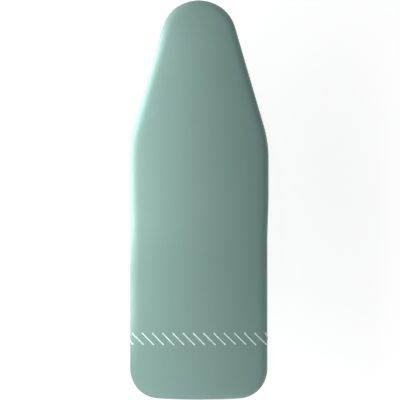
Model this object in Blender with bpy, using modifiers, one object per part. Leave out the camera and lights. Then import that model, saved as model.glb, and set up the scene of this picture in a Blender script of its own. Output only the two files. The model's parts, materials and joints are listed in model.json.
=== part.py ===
"""Sleeve ironing board: a padded cantilever pressing board on a fold-flat parallelogram stand.

Frame, in metres: +Z up, +Y towards the board's round nose, +X to the right. The origin is on the
floor under the middle of the board. Touching pieces keep a gap of 0.3 mm.
"""

import math

import bmesh
import bpy
import numpy as np
from mathutils import Matrix, Vector

OBJECT_NAME = "sleeve_ironing_board"

# General
GAP = 0.0003
MERGE = 0.00001
CUT_OVERRUN = 0.001

# Board, seen from above
BOARD_LENGTH = 0.560
BOARD_WIDTH = 0.196
BOARD_TOP = 0.147
NOSE_RADIUS = 0.0533
TAPER_ANGLE = math.radians(16.3)
SHOULDER_RADIUS = 0.157
SIDE_SHRINK = 0.0017
SHRINK_START = 0.010
SHRINK_RUN = 0.070
HEEL_RADIUS = 0.042
HEEL_BOW_RADIUS = 0.983

# Cover and padding
COVER_THICKNESS = 0.001
EDGE_RADIUS = 0.009
CROWN_HEIGHT = 0.0025
CROWN_INSET = 0.035
CROWN_MIDDLE = 0.020
HEM_INSET = 0.019
HEM_Z = 0.1199
PAD_CLEARANCE = 0.0016
PAD_UNDERCUT = 0.003
POCKET_RADIUS = 0.0046
POCKET_DEPTH = 0.0018
ELASTIC_RADIUS = 0.0015
ELASTIC_INSET = 0.021
# (inset, z) down the side of the cover, from below its rounded edge to where it turns under
COVER_SIDE = ((0.0000, 0.1325), (0.0020, 0.1270), (0.0036, 0.1225), (0.0072, HEM_Z))

# Board plate and its rim
PAN_TOP = 0.13295
PAN_THICKNESS = 0.0008
PAN_INSET = 0.004
RIM_RADIUS = 0.005
RIM_INSET = PAN_INSET + RIM_RADIUS
VENT_PITCH = 0.026
VENT_RADIUS = 0.0062
VENT_EDGE = 0.023
NO_VENT_HALF_WIDTH = 0.066
NO_VENT_HALF_LENGTH = 0.062

# Parallelogram stand
PIVOT_SPACING = 0.080
FRONT_PIVOT_Y = -0.125
REAR_PIVOT_Y = FRONT_PIVOT_Y - PIVOT_SPACING
LOWER_PIVOT_Z = 0.016
RISER_LENGTH = 0.100
RISER_LEAN = math.radians(6)
RISER_RADIUS = 0.006
RISER_HALF_WIDTH = 0.046
RISER_BEND = 0.020
RISER_FLAT_WIDTH = 0.017
RISER_FLAT_THICKNESS = 0.0032
RISER_FLAT_START = 0.072
RISER_TAPER_START = 0.060
RISER_OVERRUN = 0.012
RISER_CORNER = 0.005
UPPER_OFFSET_Y = RISER_LENGTH * math.sin(RISER_LEAN)
UPPER_PIVOT_Z = LOWER_PIVOT_Z + RISER_LENGTH * math.cos(RISER_LEAN)

# Base
BASE_RADIUS = 0.007
BASE_Z = 0.017
BASE_HALF_WIDTH = 0.080
BASE_NOSE_RADIUS = 0.040
BASE_NOSE_Y = 0.160
BASE_FILLET = 0.100
BASE_END_Y = -0.258
STRIP_WIDTH = 0.036
STRIP_HALF_LENGTH = 0.084
STRIP_THICKNESS = 0.003
STRIP_TOP = BASE_Z - BASE_RADIUS - GAP
STRAP_X = 0.016
STRAP_WIDTH = 0.014
STRAP_THICKNESS = 0.0016
STRAP_REACH = 0.017
STRAP_RIVET_Y = 0.0127
STRIP_CORNER = 0.006
STRAP_CORNER = 0.001
STRAP_RIVET_HEAD_RADIUS = 0.0035
STRAP_RIVET_HEAD_HEIGHT = 0.0015
STRAP_RIVET_END_RADIUS = 0.0032
STRAP_RIVET_END_HEIGHT = 0.0012
STRAP_RIVET_HEAD_TAPER = 0.0013
STRAP_RIVET_END_TAPER = 0.0008
BUMPER_OFFSET_Y = 0.013
BUMPER_TOP = 0.022
BUMPER_RADIUS = 0.006
BUMPER_NECK_RADIUS = 0.0022
BUMPER_HOLE_RADIUS = 0.0025
BUMPER_BARB_RADIUS = 0.0034
BUMPER_BARB_HEIGHT = 0.0022
BUMPER_BARB_TAPER = 0.0016
BUMPER_CHAMFER = 0.0010

# Feet
FOOT_HALF_WIDTH = 0.012
BOOT_REAR = 0.006
BOOT_FRONT = 0.020
BOOT_HEIGHT = 0.0262
BOOT_EDGE = 0.0035
CLIP_FOOT_Y = 0.110
CLIP_FOOT_HALF_LENGTH = 0.015
CLIP_FOOT_HEIGHT = 0.0195
CLIP_FOOT_EDGE = 0.003

# Upper hinge bracket and its hardware
BRACKET_SHEET = 0.002
EAR_INNER_X = 0.0536
EAR_OUTER_X = EAR_INNER_X + BRACKET_SHEET
EAR_RADIUS = 0.010
EAR_FILLET = 0.008
EAR_RISE = 0.003
WEB_TOP = PAN_TOP - PAN_THICKNESS - GAP
STOP_REACH = 0.0099
STOP_RISE = 0.0075
RIVET_RADIUS = 0.0019
RIVET_HOLE = 0.0022
PAN_HEAD_RADIUS = 0.0040
PAN_HEAD_HEIGHT = 0.0011
PAN_HEAD_CHAMFER = 0.0004
SET_END_RADIUS = 0.0037
SET_END_HEIGHT = 0.0014
SET_END_TAPER = 0.0013
BRACKET_RIVET_X = 0.030
WINDOW_RADIUS = 0.013
WINDOW_OFFSET = 0.022
PIVOT_PIN_RADIUS = 0.0029
PIVOT_HOLE_RADIUS = 0.0032
PIVOT_HEAD_RADIUS = 0.006
PIVOT_HEAD_INNER_X = 0.0458
PIVOT_HEAD_HEIGHT = 0.0024
PIVOT_HEAD_DOME = 0.0022
PIVOT_HEAD_EDGE = 0.0010
PIN_CHAMFER = 0.0006
INNER_HEAD_EDGE = 0.0008
INNER_HEAD_CHAMFER = 0.0012
WASHER_RADIUS = 0.0075
WASHER_THICKNESS = 0.001
KNOB_WASHER_THICKNESS = 0.0012
KNOB_HUB_X = 0.0574
KNOB_LOBE_X = 0.0595
KNOB_END_X = 0.0710
KNOB_RADIUS = 0.0122
KNOB_LOBE = 0.0013
KNOB_LOBES = 6
KNOB_EDGE = 0.0015
KNOB_HUB_RADIUS = 0.008
KNOB_HUB_OVERLAP = 0.003
INSERT_RADIUS = 0.0047
INSERT_END_X = 0.069
BOLT_END_X = 0.067


def clear_scene():
    """Remove every object and collection of the open scene."""
    for item in list(bpy.data.objects):
        bpy.data.objects.remove(item, do_unlink=True)
    for group in list(bpy.data.collections):
        bpy.data.collections.remove(group)


clear_scene()
PARTS = bpy.data.collections.new(OBJECT_NAME)
CUTTERS = bpy.data.collections.new("cutters")
CUTTERS.hide_render = True
for group in (PARTS, CUTTERS):
    bpy.context.scene.collection.children.link(group)


def principled(name, colour, roughness, metallic=0.0):
    """A material with one Principled shader."""
    made = bpy.data.materials.new(name)
    made.use_nodes = True
    shader = made.node_tree.nodes["Principled BSDF"]
    shader.inputs["Base Color"].default_value = (*colour, 1.0)
    shader.inputs["Roughness"].default_value = roughness
    shader.inputs["Metallic"].default_value = metallic
    return made


MATERIALS = {
    "cover_fabric": principled("cover_fabric", (0.20, 0.31, 0.29), 0.5),
    "elastic": principled("elastic", (0.85, 0.86, 0.84), 0.8),
    "foam": principled("foam", (0.78, 0.74, 0.60), 0.9),
    "zinc_steel": principled("zinc_steel", (0.62, 0.64, 0.66), 0.38, 1.0),
    "painted_steel": principled("painted_steel", (0.40, 0.42, 0.425), 0.4),
    "rubber": principled("rubber", (0.05, 0.05, 0.055), 0.8),
    "knob_plastic": principled("knob_plastic", (0.09, 0.10, 0.11), 0.5),
    "nylon": principled("nylon", (0.90, 0.89, 0.84), 0.45),
    "brass": principled("brass", (0.78, 0.62, 0.30), 0.3, 1.0),
}


# Building blocks


def add_object(name, data, material=None, parent=None):
    """Link an object as a part, or as a hidden helper when it has no material."""
    made = bpy.data.objects.new(name, data)
    if material is None:
        CUTTERS.objects.link(made)
        made.hide_render = True
        made.display_type = "WIRE"
    else:
        PARTS.objects.link(made)
        data.materials.append(MATERIALS[material])
    if parent is not None:
        made.parent = parent
        made.matrix_parent_inverse = parent.matrix_world.inverted()
    return made


def add_pivot(name, place, parent=None):
    """An empty on a joint's axis, which the pieces of one moving body hang from."""
    made = bpy.data.objects.new(name, None)
    PARTS.objects.link(made)
    made.location = place
    if parent is not None:
        made.parent = parent
        made.matrix_parent_inverse = parent.matrix_world.inverted()
    bpy.context.view_layer.update()
    return made


def finish_mesh(mesh, smooth_angle=35):
    """Face the mesh outwards and shade it smooth with sharp creases."""
    work = bmesh.new()
    work.from_mesh(mesh)
    bmesh.ops.recalc_face_normals(work, faces=work.faces)
    work.to_mesh(mesh)
    work.free()
    mesh.shade_smooth()
    mesh.set_sharp_from_angle(angle=math.radians(smooth_angle))
    return mesh


def box_mesh(name, low, high):
    """A box between two corners."""
    low, high = Vector(low), Vector(high)
    work = bmesh.new()
    bmesh.ops.create_cube(work, size=1)
    bmesh.ops.scale(work, vec=high - low, verts=work.verts)
    bmesh.ops.translate(work, vec=(low + high) / 2, verts=work.verts)
    mesh = bpy.data.meshes.new(name)
    work.to_mesh(mesh)
    work.free()
    return mesh


def rods_mesh(name, ends, radius, sides=16):
    """Cylinders of one radius, each given by its two ends, in one mesh."""
    work = bmesh.new()
    for start, end in ends:
        start, end = Vector(start), Vector(end)
        turn = (end - start).to_track_quat("Z", "Y").to_matrix().to_4x4()
        bmesh.ops.create_cone(
            work,
            cap_ends=True,
            segments=sides,
            radius1=radius,
            radius2=radius,
            depth=(end - start).length,
            matrix=Matrix.Translation((start + end) / 2) @ turn,
        )
    mesh = bpy.data.meshes.new(name)
    work.to_mesh(mesh)
    work.free()
    return mesh


def loft_mesh(name, rings, cap_start=True, cap_end=True):
    """A skin through rings of as many points each, closed around and capped where asked."""
    work = bmesh.new()
    rows = [[work.verts.new(point) for point in ring] for ring in rings]
    for row, following in zip(rows, rows[1:]):
        for i, corner in enumerate(row):
            j = (i + 1) % len(row)
            work.faces.new((corner, row[j], following[j], following[i]))
    if cap_start:
        work.faces.new(reversed(rows[0]))
    if cap_end:
        work.faces.new(rows[-1])
    mesh = bpy.data.meshes.new(name)
    work.to_mesh(mesh)
    work.free()
    return mesh


def turned(name, profile, material, parent, steps=16):
    """A solid of revolution about local Z; profile is (radius, height), down its outer side."""
    mesh = bpy.data.meshes.new(name)
    on_axis = profile[0][0] == 0
    count = len(profile)
    edges = [(i, i + 1) for i in range(count - 1)]
    if not on_axis:
        edges.append((count - 1, 0))
    mesh.from_pydata([(radius, 0, height) for radius, height in profile], edges, [])
    made = add_object(name, mesh, material, parent)
    screw = made.modifiers.new("turn", "SCREW")
    screw.steps = steps
    screw.render_steps = steps
    screw.use_merge_vertices = True
    screw.merge_threshold = MERGE
    screw.use_smooth_shade = True
    return made


def plate_curve(name, outlines, thickness):
    """A flat plate in XY between z = 0 and its thickness; outlines after the first are holes."""
    curve = bpy.data.curves.new(name, "CURVE")
    curve.dimensions = "2D"
    curve.fill_mode = "BOTH"
    curve.extrude = thickness / 2
    for outline in outlines:
        spline = curve.splines.new("POLY")
        spline.points.add(len(outline) - 1)
        for point, place in zip(spline.points, outline):
            point.co = (place[0], place[1], 0, 1)
        spline.use_cyclic_u = True
    return curve


def tube_curve(name, points, radius, closed=False, roundness=4):
    """A round tube along points."""
    curve = bpy.data.curves.new(name, "CURVE")
    curve.dimensions = "3D"
    curve.bevel_depth = radius
    curve.bevel_resolution = roundness
    curve.use_fill_caps = not closed
    spline = curve.splines.new("POLY")
    spline.points.add(len(points) - 1)
    for point, place in zip(spline.points, points):
        point.co = (*place, 1)
    spline.use_cyclic_u = closed
    spline.use_smooth = True
    return curve


def mesh_of_curve(name, curve, matrix):
    """The welded mesh of a curve, set in place by a matrix."""
    holder = bpy.data.objects.new(name, curve)
    CUTTERS.objects.link(holder)
    graph = bpy.context.evaluated_depsgraph_get()
    mesh = bpy.data.meshes.new_from_object(holder.evaluated_get(graph))
    bpy.data.objects.remove(holder)
    work = bmesh.new()
    work.from_mesh(mesh)
    bmesh.ops.remove_doubles(work, verts=work.verts, dist=MERGE)
    bmesh.ops.transform(work, matrix=matrix, verts=work.verts)
    work.to_mesh(mesh)
    work.free()
    mesh.name = name
    return mesh


def boolean(target, tool, operation="DIFFERENCE"):
    """Cut the tool from the target, or join it on."""
    modifier = target.modifiers.new(tool.name, "BOOLEAN")
    modifier.operation = operation
    modifier.object = tool


def bevel(target, width, segments=2, angle=40):
    """Round the edges sharper than an angle."""
    modifier = target.modifiers.new("round", "BEVEL")
    modifier.width = width
    modifier.segments = segments
    modifier.limit_method = "ANGLE"
    modifier.angle_limit = math.radians(angle)


def arc(centre, radius, start, end, steps):
    """Points along an arc from one angle to another, ends included."""
    return [
        (centre[0] + radius * math.cos(angle), centre[1] + radius * math.sin(angle))
        for angle in np.linspace(start, end, steps + 1)
    ]


def circle(centre, radius, sides):
    """Points around a circle."""
    return arc(centre, radius, 0, 2 * math.pi, sides)[:-1]


def mirrored_loop(right_half):
    """Close a half outline, given from front to back on the right, with its mirror image."""
    return right_half + [(-x, y) for x, y in reversed(right_half) if x > MERGE]


def tapered_side(nose_y, nose_radius, half_width, shoulder_radius, inset=0.0, steps=(8, 4)):
    """The round nose, straight taper and shoulder that the board and its base share."""
    normal = Vector((math.cos(TAPER_ANGLE), math.sin(TAPER_ANGLE)))
    flank = normal.y * nose_y + nose_radius
    shoulder_x = half_width - shoulder_radius
    shoulder_y = (flank - shoulder_radius - normal.x * shoulder_x) / normal.y
    nose = arc((0, nose_y), nose_radius - inset, math.pi / 2, TAPER_ANGLE, steps[0])
    shoulder = arc(
        (shoulder_x, shoulder_y), shoulder_radius - inset, TAPER_ANGLE, 0, steps[1]
    )
    return nose + shoulder


def board_outline(inset):
    """The board's outline from above, drawn in by an inset, clockwise from the nose tip."""
    half_width = BOARD_WIDTH / 2
    front = tapered_side(
        BOARD_LENGTH / 2 - NOSE_RADIUS, NOSE_RADIUS, half_width, SHOULDER_RADIUS, inset
    )
    side = [
        (half_width - inset - SIDE_SHRINK * share, SHRINK_START - SHRINK_RUN * share)
        for share in (0, 0.5, 1)
    ]
    bow_centre = (0, HEEL_BOW_RADIUS - BOARD_LENGTH / 2)
    corner_x = half_width - SIDE_SHRINK - HEEL_RADIUS
    corner_drop = math.sqrt((HEEL_BOW_RADIUS - HEEL_RADIUS) ** 2 - corner_x**2)
    corner = (corner_x, bow_centre[1] - corner_drop)
    corner_end = -math.atan2(corner_drop, corner_x)
    heel = arc(corner, HEEL_RADIUS - inset, 0, corner_end, 6)
    bow = arc(bow_centre, HEEL_BOW_RADIUS - inset, corner_end, -math.pi / 2, 2)
    return mirrored_loop(front + side + heel[:-1] + bow)


def board_ring(inset, z):
    """The board's outline at a height."""
    return [(x, y, z) for x, y in board_outline(inset)]


def is_inside(x, y, outline):
    """Whether a point lies inside an outline."""
    inside = False
    for (x0, y0), (x1, y1) in zip(outline, outline[1:] + outline[:1]):
        if (y0 > y) != (y1 > y) and x < x0 + (x1 - x0) * (y - y0) / (y1 - y0):
            inside = not inside
    return inside


FRONT_TOP = Vector((0, FRONT_PIVOT_Y + UPPER_OFFSET_Y, UPPER_PIVOT_Z))
REAR_TOP = Vector((0, REAR_PIVOT_Y + UPPER_OFFSET_Y, UPPER_PIVOT_Z))
BRACKET_MIDDLE_Y = (FRONT_TOP.y + REAR_TOP.y) / 2
base_body = add_pivot("base_body", (0, 0, 0))
front_riser_body = add_pivot(
    "front_riser_body", (0, FRONT_PIVOT_Y, LOWER_PIVOT_Z), base_body
)
rear_riser_body = add_pivot(
    "rear_riser_body", (0, REAR_PIVOT_Y, LOWER_PIVOT_Z), base_body
)
board_body = add_pivot("board_body", FRONT_TOP, front_riser_body)
knob_body = add_pivot("knob_body", FRONT_TOP, board_body)


# Cover, elastic and padding


def crown_profile(edge_inset, edge_z, radius, crown_height):
    """(inset, z) across the top from the flat of the crown out and round the edge."""
    across = []
    for inset in (CROWN_INSET, CROWN_MIDDLE):
        share = (CROWN_INSET - inset) / (CROWN_INSET - EDGE_RADIUS)
        across.append((inset, edge_z + radius + crown_height * (1 - share**2)))
    return across + [
        (edge_inset + radius * (1 - math.sin(turn)), edge_z + radius * math.cos(turn))
        for turn in np.linspace(0, math.pi / 2, 4)
    ]


def build_cover():
    edge_z = BOARD_TOP - CROWN_HEIGHT - EDGE_RADIUS
    profile = crown_profile(0, edge_z, EDGE_RADIUS, CROWN_HEIGHT)
    profile += [*COVER_SIDE, (HEM_INSET, HEM_Z)]
    rings = [board_ring(inset, z) for inset, z in profile]
    mesh = finish_mesh(loft_mesh("cover", rings, cap_end=False))
    cover = add_object("cover", mesh, "cover_fabric", board_body)
    shell = cover.modifiers.new("cloth", "SOLIDIFY")
    shell.thickness = COVER_THICKNESS
    shell.offset = -1
    shell.use_even_offset = True


def build_hem_elastic():
    curve = tube_curve(
        "hem_elastic",
        board_ring(ELASTIC_INSET, HEM_Z + ELASTIC_RADIUS / 3),
        ELASTIC_RADIUS,
        closed=True,
        roundness=1,
    )
    add_object("hem_elastic", curve, "elastic", board_body)


def bracket_rivet_places():
    """(x, y) of the rivets that hold the hinge bracket to the plate."""
    for y in (REAR_TOP.y, BRACKET_MIDDLE_Y, FRONT_TOP.y):
        for x in (-BRACKET_RIVET_X, BRACKET_RIVET_X):
            yield x, y


def build_foam_pad():
    bottom = PAN_TOP + GAP
    edge_z = BOARD_TOP - CROWN_HEIGHT - EDGE_RADIUS
    radius = EDGE_RADIUS - PAD_CLEARANCE
    top = crown_profile(PAD_CLEARANCE, edge_z, radius, CROWN_HEIGHT)
    rings = [board_ring(inset, z) for inset, z in top]
    rings.append(board_ring(PAD_CLEARANCE + PAD_UNDERCUT, bottom))
    mesh = finish_mesh(loft_mesh("foam_pad", rings))
    pad = add_object("foam_pad", mesh, "foam", board_body)
    low, high = bottom - CUT_OVERRUN, bottom + POCKET_DEPTH
    ends = [((x, y, low), (x, y, high)) for x, y in bracket_rivet_places()]
    pockets = rods_mesh("rivet_pockets", ends, POCKET_RADIUS, 12)
    boolean(pad, add_object("rivet_pockets", pockets))


# Plate, rim and hinge bracket


def vent_places():
    """Centres of the steam vents, in staggered rows, clear of the rim and of the bracket."""
    limit = board_outline(VENT_EDGE)
    row_pitch = VENT_PITCH * math.sqrt(3) / 2
    rows = math.ceil(BOARD_LENGTH / 2 / row_pitch)
    columns = math.ceil(BOARD_WIDTH / 2 / VENT_PITCH)
    for row in range(-rows, rows + 1):
        y = row * row_pitch
        for column in range(-columns, columns + 1):
            x = (column + 0.5 * (row % 2)) * VENT_PITCH
            on_bracket = (
                abs(x) < NO_VENT_HALF_WIDTH and abs(y - BRACKET_MIDDLE_Y) < NO_VENT_HALF_LENGTH
            )
            if is_inside(x, y, limit) and not on_bracket:
                yield x, y


def build_board_pan():
    outlines = [board_outline(PAN_INSET)]
    for x, y in vent_places():
        outlines.append(
            arc((x, y), VENT_RADIUS, math.pi / 6, math.pi / 6 + 2 * math.pi, 6)[:-1]
        )
    outlines += [circle(place, RIVET_HOLE, 10) for place in bracket_rivet_places()]
    pan = add_object(
        "board_pan",
        plate_curve("board_pan", outlines, PAN_THICKNESS),
        "zinc_steel",
        board_body,
    )
    pan.location.z = PAN_TOP - PAN_THICKNESS / 2


def build_rim_tube():
    z = PAN_TOP - PAN_THICKNESS - GAP - RIM_RADIUS
    curve = tube_curve(
        "rim_tube", board_ring(RIM_INSET, z), RIM_RADIUS, closed=True, roundness=3
    )
    add_object("rim_tube", curve, "zinc_steel", board_body)


def ear_outline():
    """The side view (y, z) of one bracket ear: two lobes joined by an arch, and a front stop."""
    lobe_drop = math.sqrt((EAR_RADIUS + EAR_FILLET) ** 2 - (EAR_FILLET - EAR_RISE) ** 2)
    meet = math.atan2(EAR_FILLET - EAR_RISE, lobe_drop)
    z = UPPER_PIVOT_Z
    fillet_z = z + EAR_RISE - EAR_FILLET
    stop_y = FRONT_TOP.y + STOP_REACH + BRACKET_SHEET
    outline = [(stop_y, WEB_TOP), (stop_y, z + STOP_RISE)]
    outline += arc((FRONT_TOP.y, z), EAR_RADIUS, 0, meet - math.pi, 8)
    front_fillet = (FRONT_TOP.y - lobe_drop, fillet_z)
    outline += arc(front_fillet, EAR_FILLET, meet, math.pi / 2, 4)[1:]
    rear_fillet = (REAR_TOP.y + lobe_drop, fillet_z)
    outline += arc(rear_fillet, EAR_FILLET, math.pi / 2, math.pi - meet, 4)[:-1]
    outline += arc((REAR_TOP.y, z), EAR_RADIUS, -meet, -math.pi, 8)
    outline.append((REAR_TOP.y - EAR_RADIUS, WEB_TOP))
    return outline


def build_hinge_bracket():
    rear = REAR_TOP.y - EAR_RADIUS
    front = FRONT_TOP.y + STOP_REACH
    web = box_mesh(
        "hinge_bracket",
        (-EAR_OUTER_X, rear, WEB_TOP - BRACKET_SHEET),
        (EAR_OUTER_X, front + BRACKET_SHEET, WEB_TOP),
    )
    bracket = add_object("hinge_bracket", web, "zinc_steel", board_body)
    stop = box_mesh(
        "bracket_stop",
        (-EAR_OUTER_X, front, UPPER_PIVOT_Z + STOP_RISE),
        (EAR_OUTER_X, front + BRACKET_SHEET, WEB_TOP),
    )
    boolean(bracket, add_object("bracket_stop", stop), "UNION")
    # A plate drawn in XY stands up in YZ: its x becomes y, its y becomes z, its z becomes x.
    stand_up = Matrix(((0, 0, 1, 0), (1, 0, 0, 0), (0, 1, 0, 0), (0, 0, 0, 1)))
    for side in (-1, 1):
        name = "bracket_ear_left" if side < 0 else "bracket_ear_right"
        shift = Matrix.Translation((side * (EAR_INNER_X + EAR_OUTER_X) / 2, 0, 0))
        curve = plate_curve(name, [ear_outline()], BRACKET_SHEET)
        ear = add_object(name, mesh_of_curve(name, curve, shift @ stand_up))
        boolean(bracket, ear, "UNION")
    reach = EAR_OUTER_X + CUT_OVERRUN
    pins = [
        ((-reach, pivot.y, pivot.z), (reach, pivot.y, pivot.z))
        for pivot in (FRONT_TOP, REAR_TOP)
    ]
    pin_holes = rods_mesh("bracket_pin_holes", pins, PIVOT_HOLE_RADIUS, 20)
    boolean(bracket, add_object("bracket_pin_holes", pin_holes))
    low, high = WEB_TOP - BRACKET_SHEET - CUT_OVERRUN, WEB_TOP + CUT_OVERRUN
    rivet_holes = rods_mesh(
        "bracket_rivet_holes",
        [((x, y, low), (x, y, high)) for x, y in bracket_rivet_places()],
        RIVET_HOLE,
        12,
    )
    boolean(bracket, add_object("bracket_rivet_holes", rivet_holes))
    windows = rods_mesh(
        "bracket_windows",
        [
            ((0, y, low), (0, y, high))
            for y in (BRACKET_MIDDLE_Y - WINDOW_OFFSET, BRACKET_MIDDLE_Y + WINDOW_OFFSET)
        ],
        WINDOW_RADIUS,
        24,
    )
    boolean(bracket, add_object("bracket_windows", windows))


def build_bracket_rivets():
    under_web = WEB_TOP - BRACKET_SHEET - GAP
    over_pan = PAN_TOP + GAP
    profile = [
        (0, over_pan + PAN_HEAD_HEIGHT),
        (PAN_HEAD_RADIUS - PAN_HEAD_CHAMFER, over_pan + PAN_HEAD_HEIGHT),
        (PAN_HEAD_RADIUS, over_pan),
        (RIVET_RADIUS, over_pan),
        (RIVET_RADIUS, under_web),
        (SET_END_RADIUS, under_web),
        (SET_END_RADIUS - SET_END_TAPER, under_web - SET_END_HEIGHT),
        (0, under_web - SET_END_HEIGHT),
    ]
    for number, (x, y) in enumerate(bracket_rivet_places(), start=1):
        rivet = turned(
            f"bracket_rivet_{number}", profile, "zinc_steel", board_body, steps=12
        )
        rivet.location = (x, y, 0)


# Upper pivots and the lock knob


def on_pivot(piece, pivot, side):
    """Lay a turned piece along the pivot's axis, its local Z pointing out of that side."""
    piece.location = (0, pivot.y, pivot.z)
    piece.rotation_euler = (0, side * math.pi / 2, 0)


def build_pivot_hardware():
    head_end = RISER_HALF_WIDTH + RISER_RADIUS - RISER_FLAT_THICKNESS - GAP
    outer_head = EAR_OUTER_X + GAP
    pin = [
        (PIVOT_HEAD_RADIUS, head_end),
        (PIVOT_HEAD_RADIUS, PIVOT_HEAD_INNER_X + INNER_HEAD_EDGE),
        (PIVOT_HEAD_RADIUS - INNER_HEAD_CHAMFER, PIVOT_HEAD_INNER_X),
        (0, PIVOT_HEAD_INNER_X),
    ]
    rivet_profile = [
        (0, outer_head + PIVOT_HEAD_HEIGHT),
        (PIVOT_HEAD_RADIUS - PIVOT_HEAD_DOME, outer_head + PIVOT_HEAD_HEIGHT),
        (PIVOT_HEAD_RADIUS, outer_head + PIVOT_HEAD_EDGE),
        (PIVOT_HEAD_RADIUS, outer_head),
        (PIVOT_PIN_RADIUS, outer_head),
        (PIVOT_PIN_RADIUS, head_end),
    ] + pin
    bolt_profile = [
        (0, BOLT_END_X),
        (PIVOT_PIN_RADIUS - PIN_CHAMFER, BOLT_END_X),
        (PIVOT_PIN_RADIUS, BOLT_END_X - PIN_CHAMFER),
        (PIVOT_PIN_RADIUS, head_end),
    ] + pin
    for name, pivot, side, profile in (
        ("pivot_rivet_front_left", FRONT_TOP, -1, rivet_profile),
        ("pivot_rivet_rear_left", REAR_TOP, -1, rivet_profile),
        ("pivot_rivet_rear_right", REAR_TOP, 1, rivet_profile),
        ("clamp_bolt", FRONT_TOP, 1, bolt_profile),
    ):
        on_pivot(turned(name, profile, "zinc_steel", board_body), pivot, side)
    washer_x = RISER_HALF_WIDTH + RISER_RADIUS + GAP
    for row, pivot in (("front", FRONT_TOP), ("rear", REAR_TOP)):
        for label, side in (("left", -1), ("right", 1)):
            washer = washer_of(
                f"pivot_washer_{row}_{label}", washer_x, WASHER_THICKNESS, "nylon"
            )
            on_pivot(washer, pivot, side)
    on_pivot(washer_of("knob_washer", outer_head, KNOB_WASHER_THICKNESS, "zinc_steel"), FRONT_TOP, 1)


def washer_of(name, start, thickness, material):
    """A flat ring whose inner face is at a height of start."""
    profile = [
        (WASHER_RADIUS, start + thickness),
        (WASHER_RADIUS, start),
        (PIVOT_HOLE_RADIUS, start),
        (PIVOT_HOLE_RADIUS, start + thickness),
    ]
    return turned(name, profile, material, board_body)


def build_lock_knob():
    rings = []
    for x, shrink in (
        (KNOB_LOBE_X, KNOB_EDGE),
        (KNOB_LOBE_X + KNOB_EDGE, 0),
        (KNOB_END_X - KNOB_EDGE, 0),
        (KNOB_END_X - KNOB_EDGE * 0.3, KNOB_EDGE * 0.3),
        (KNOB_END_X, KNOB_EDGE),
    ):
        ring = []
        for angle in np.linspace(0, 2 * math.pi, 6 * KNOB_LOBES, endpoint=False):
            radius = KNOB_RADIUS + KNOB_LOBE * math.cos(KNOB_LOBES * angle) - shrink
            y = FRONT_TOP.y + radius * math.cos(angle)
            ring.append((x, y, FRONT_TOP.z + radius * math.sin(angle)))
        rings.append(ring)
    star = finish_mesh(loft_mesh("lock_knob", rings))
    knob = add_object("lock_knob", star, "knob_plastic", knob_body)
    centre = (FRONT_TOP.y, FRONT_TOP.z)
    hub_ends = ((KNOB_HUB_X, *centre), (KNOB_LOBE_X + KNOB_HUB_OVERLAP, *centre))
    hub = rods_mesh("knob_hub", [hub_ends], KNOB_HUB_RADIUS, 24)
    boolean(knob, add_object("knob_hub", hub), "UNION")
    bore_ends = ((KNOB_HUB_X - CUT_OVERRUN, *centre), (INSERT_END_X + GAP, *centre))
    bore = rods_mesh("knob_bore", [bore_ends], INSERT_RADIUS + GAP, 20)
    boolean(knob, add_object("knob_bore", bore))
    insert = turned(
        "knob_insert",
        [
            (INSERT_RADIUS, INSERT_END_X),
            (INSERT_RADIUS, KNOB_HUB_X),
            (PIVOT_HOLE_RADIUS, KNOB_HUB_X),
            (PIVOT_HOLE_RADIUS, INSERT_END_X),
        ],
        "brass",
        knob_body,
    )
    on_pivot(insert, FRONT_TOP, 1)


# Risers


def riser_sections():
    """(centre x, centre up, outward x, outward up, half depth x, half width, squareness) along the
    right half of a riser, from the middle of its crossbar to the end of its flattened tip."""
    radius = RISER_RADIUS
    sections = [(0, 0, 0, -1, radius, radius, 1.0)]
    bend_x = RISER_HALF_WIDTH - RISER_BEND
    for turn in np.linspace(0, math.pi / 2, 5):
        x, up = math.sin(turn), -math.cos(turn)
        centre = (bend_x + RISER_BEND * x, RISER_BEND + RISER_BEND * up)
        sections.append((*centre, x, up, radius, radius, 1.0))
    half_depth = RISER_FLAT_THICKNESS / 2
    half_width = RISER_FLAT_WIDTH / 2
    flat_x = RISER_HALF_WIDTH + radius - half_depth
    sections.append((RISER_HALF_WIDTH, RISER_TAPER_START, 1, 0, radius, radius, 1.0))
    middle = (RISER_TAPER_START + RISER_FLAT_START) / 2
    sections.append(
        (
            (RISER_HALF_WIDTH + flat_x) / 2,
            middle,
            1,
            0,
            (radius + half_depth) / 2,
            (radius + half_width) / 2,
            0.7,
        )
    )
    sections.append((flat_x, RISER_FLAT_START, 1, 0, half_depth, half_width, 0.3))
    shoulder = RISER_LENGTH + RISER_OVERRUN - RISER_CORNER
    for turn in np.linspace(0, math.pi / 2, 4):
        width = half_width - RISER_CORNER * (1 - math.cos(turn))
        up = shoulder + RISER_CORNER * math.sin(turn)
        sections.append((flat_x, up, 1, 0, half_depth, width, 0.3))
    return sections


def section_ring(section, sides=12):
    """Points around one section; squareness 1 is a circle and 0.3 nearly a rectangle."""
    centre_x, centre_up, out_x, out_up, depth, width, squareness = section
    ring = []
    for angle in np.linspace(0, 2 * math.pi, sides, endpoint=False):
        cosine, sine = math.cos(angle), math.sin(angle)
        across = math.copysign(abs(cosine) ** squareness, cosine) * depth
        aside = math.copysign(abs(sine) ** squareness, sine) * width
        ring.append((centre_x + across * out_x, aside, centre_up + across * out_up))
    return ring


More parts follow.
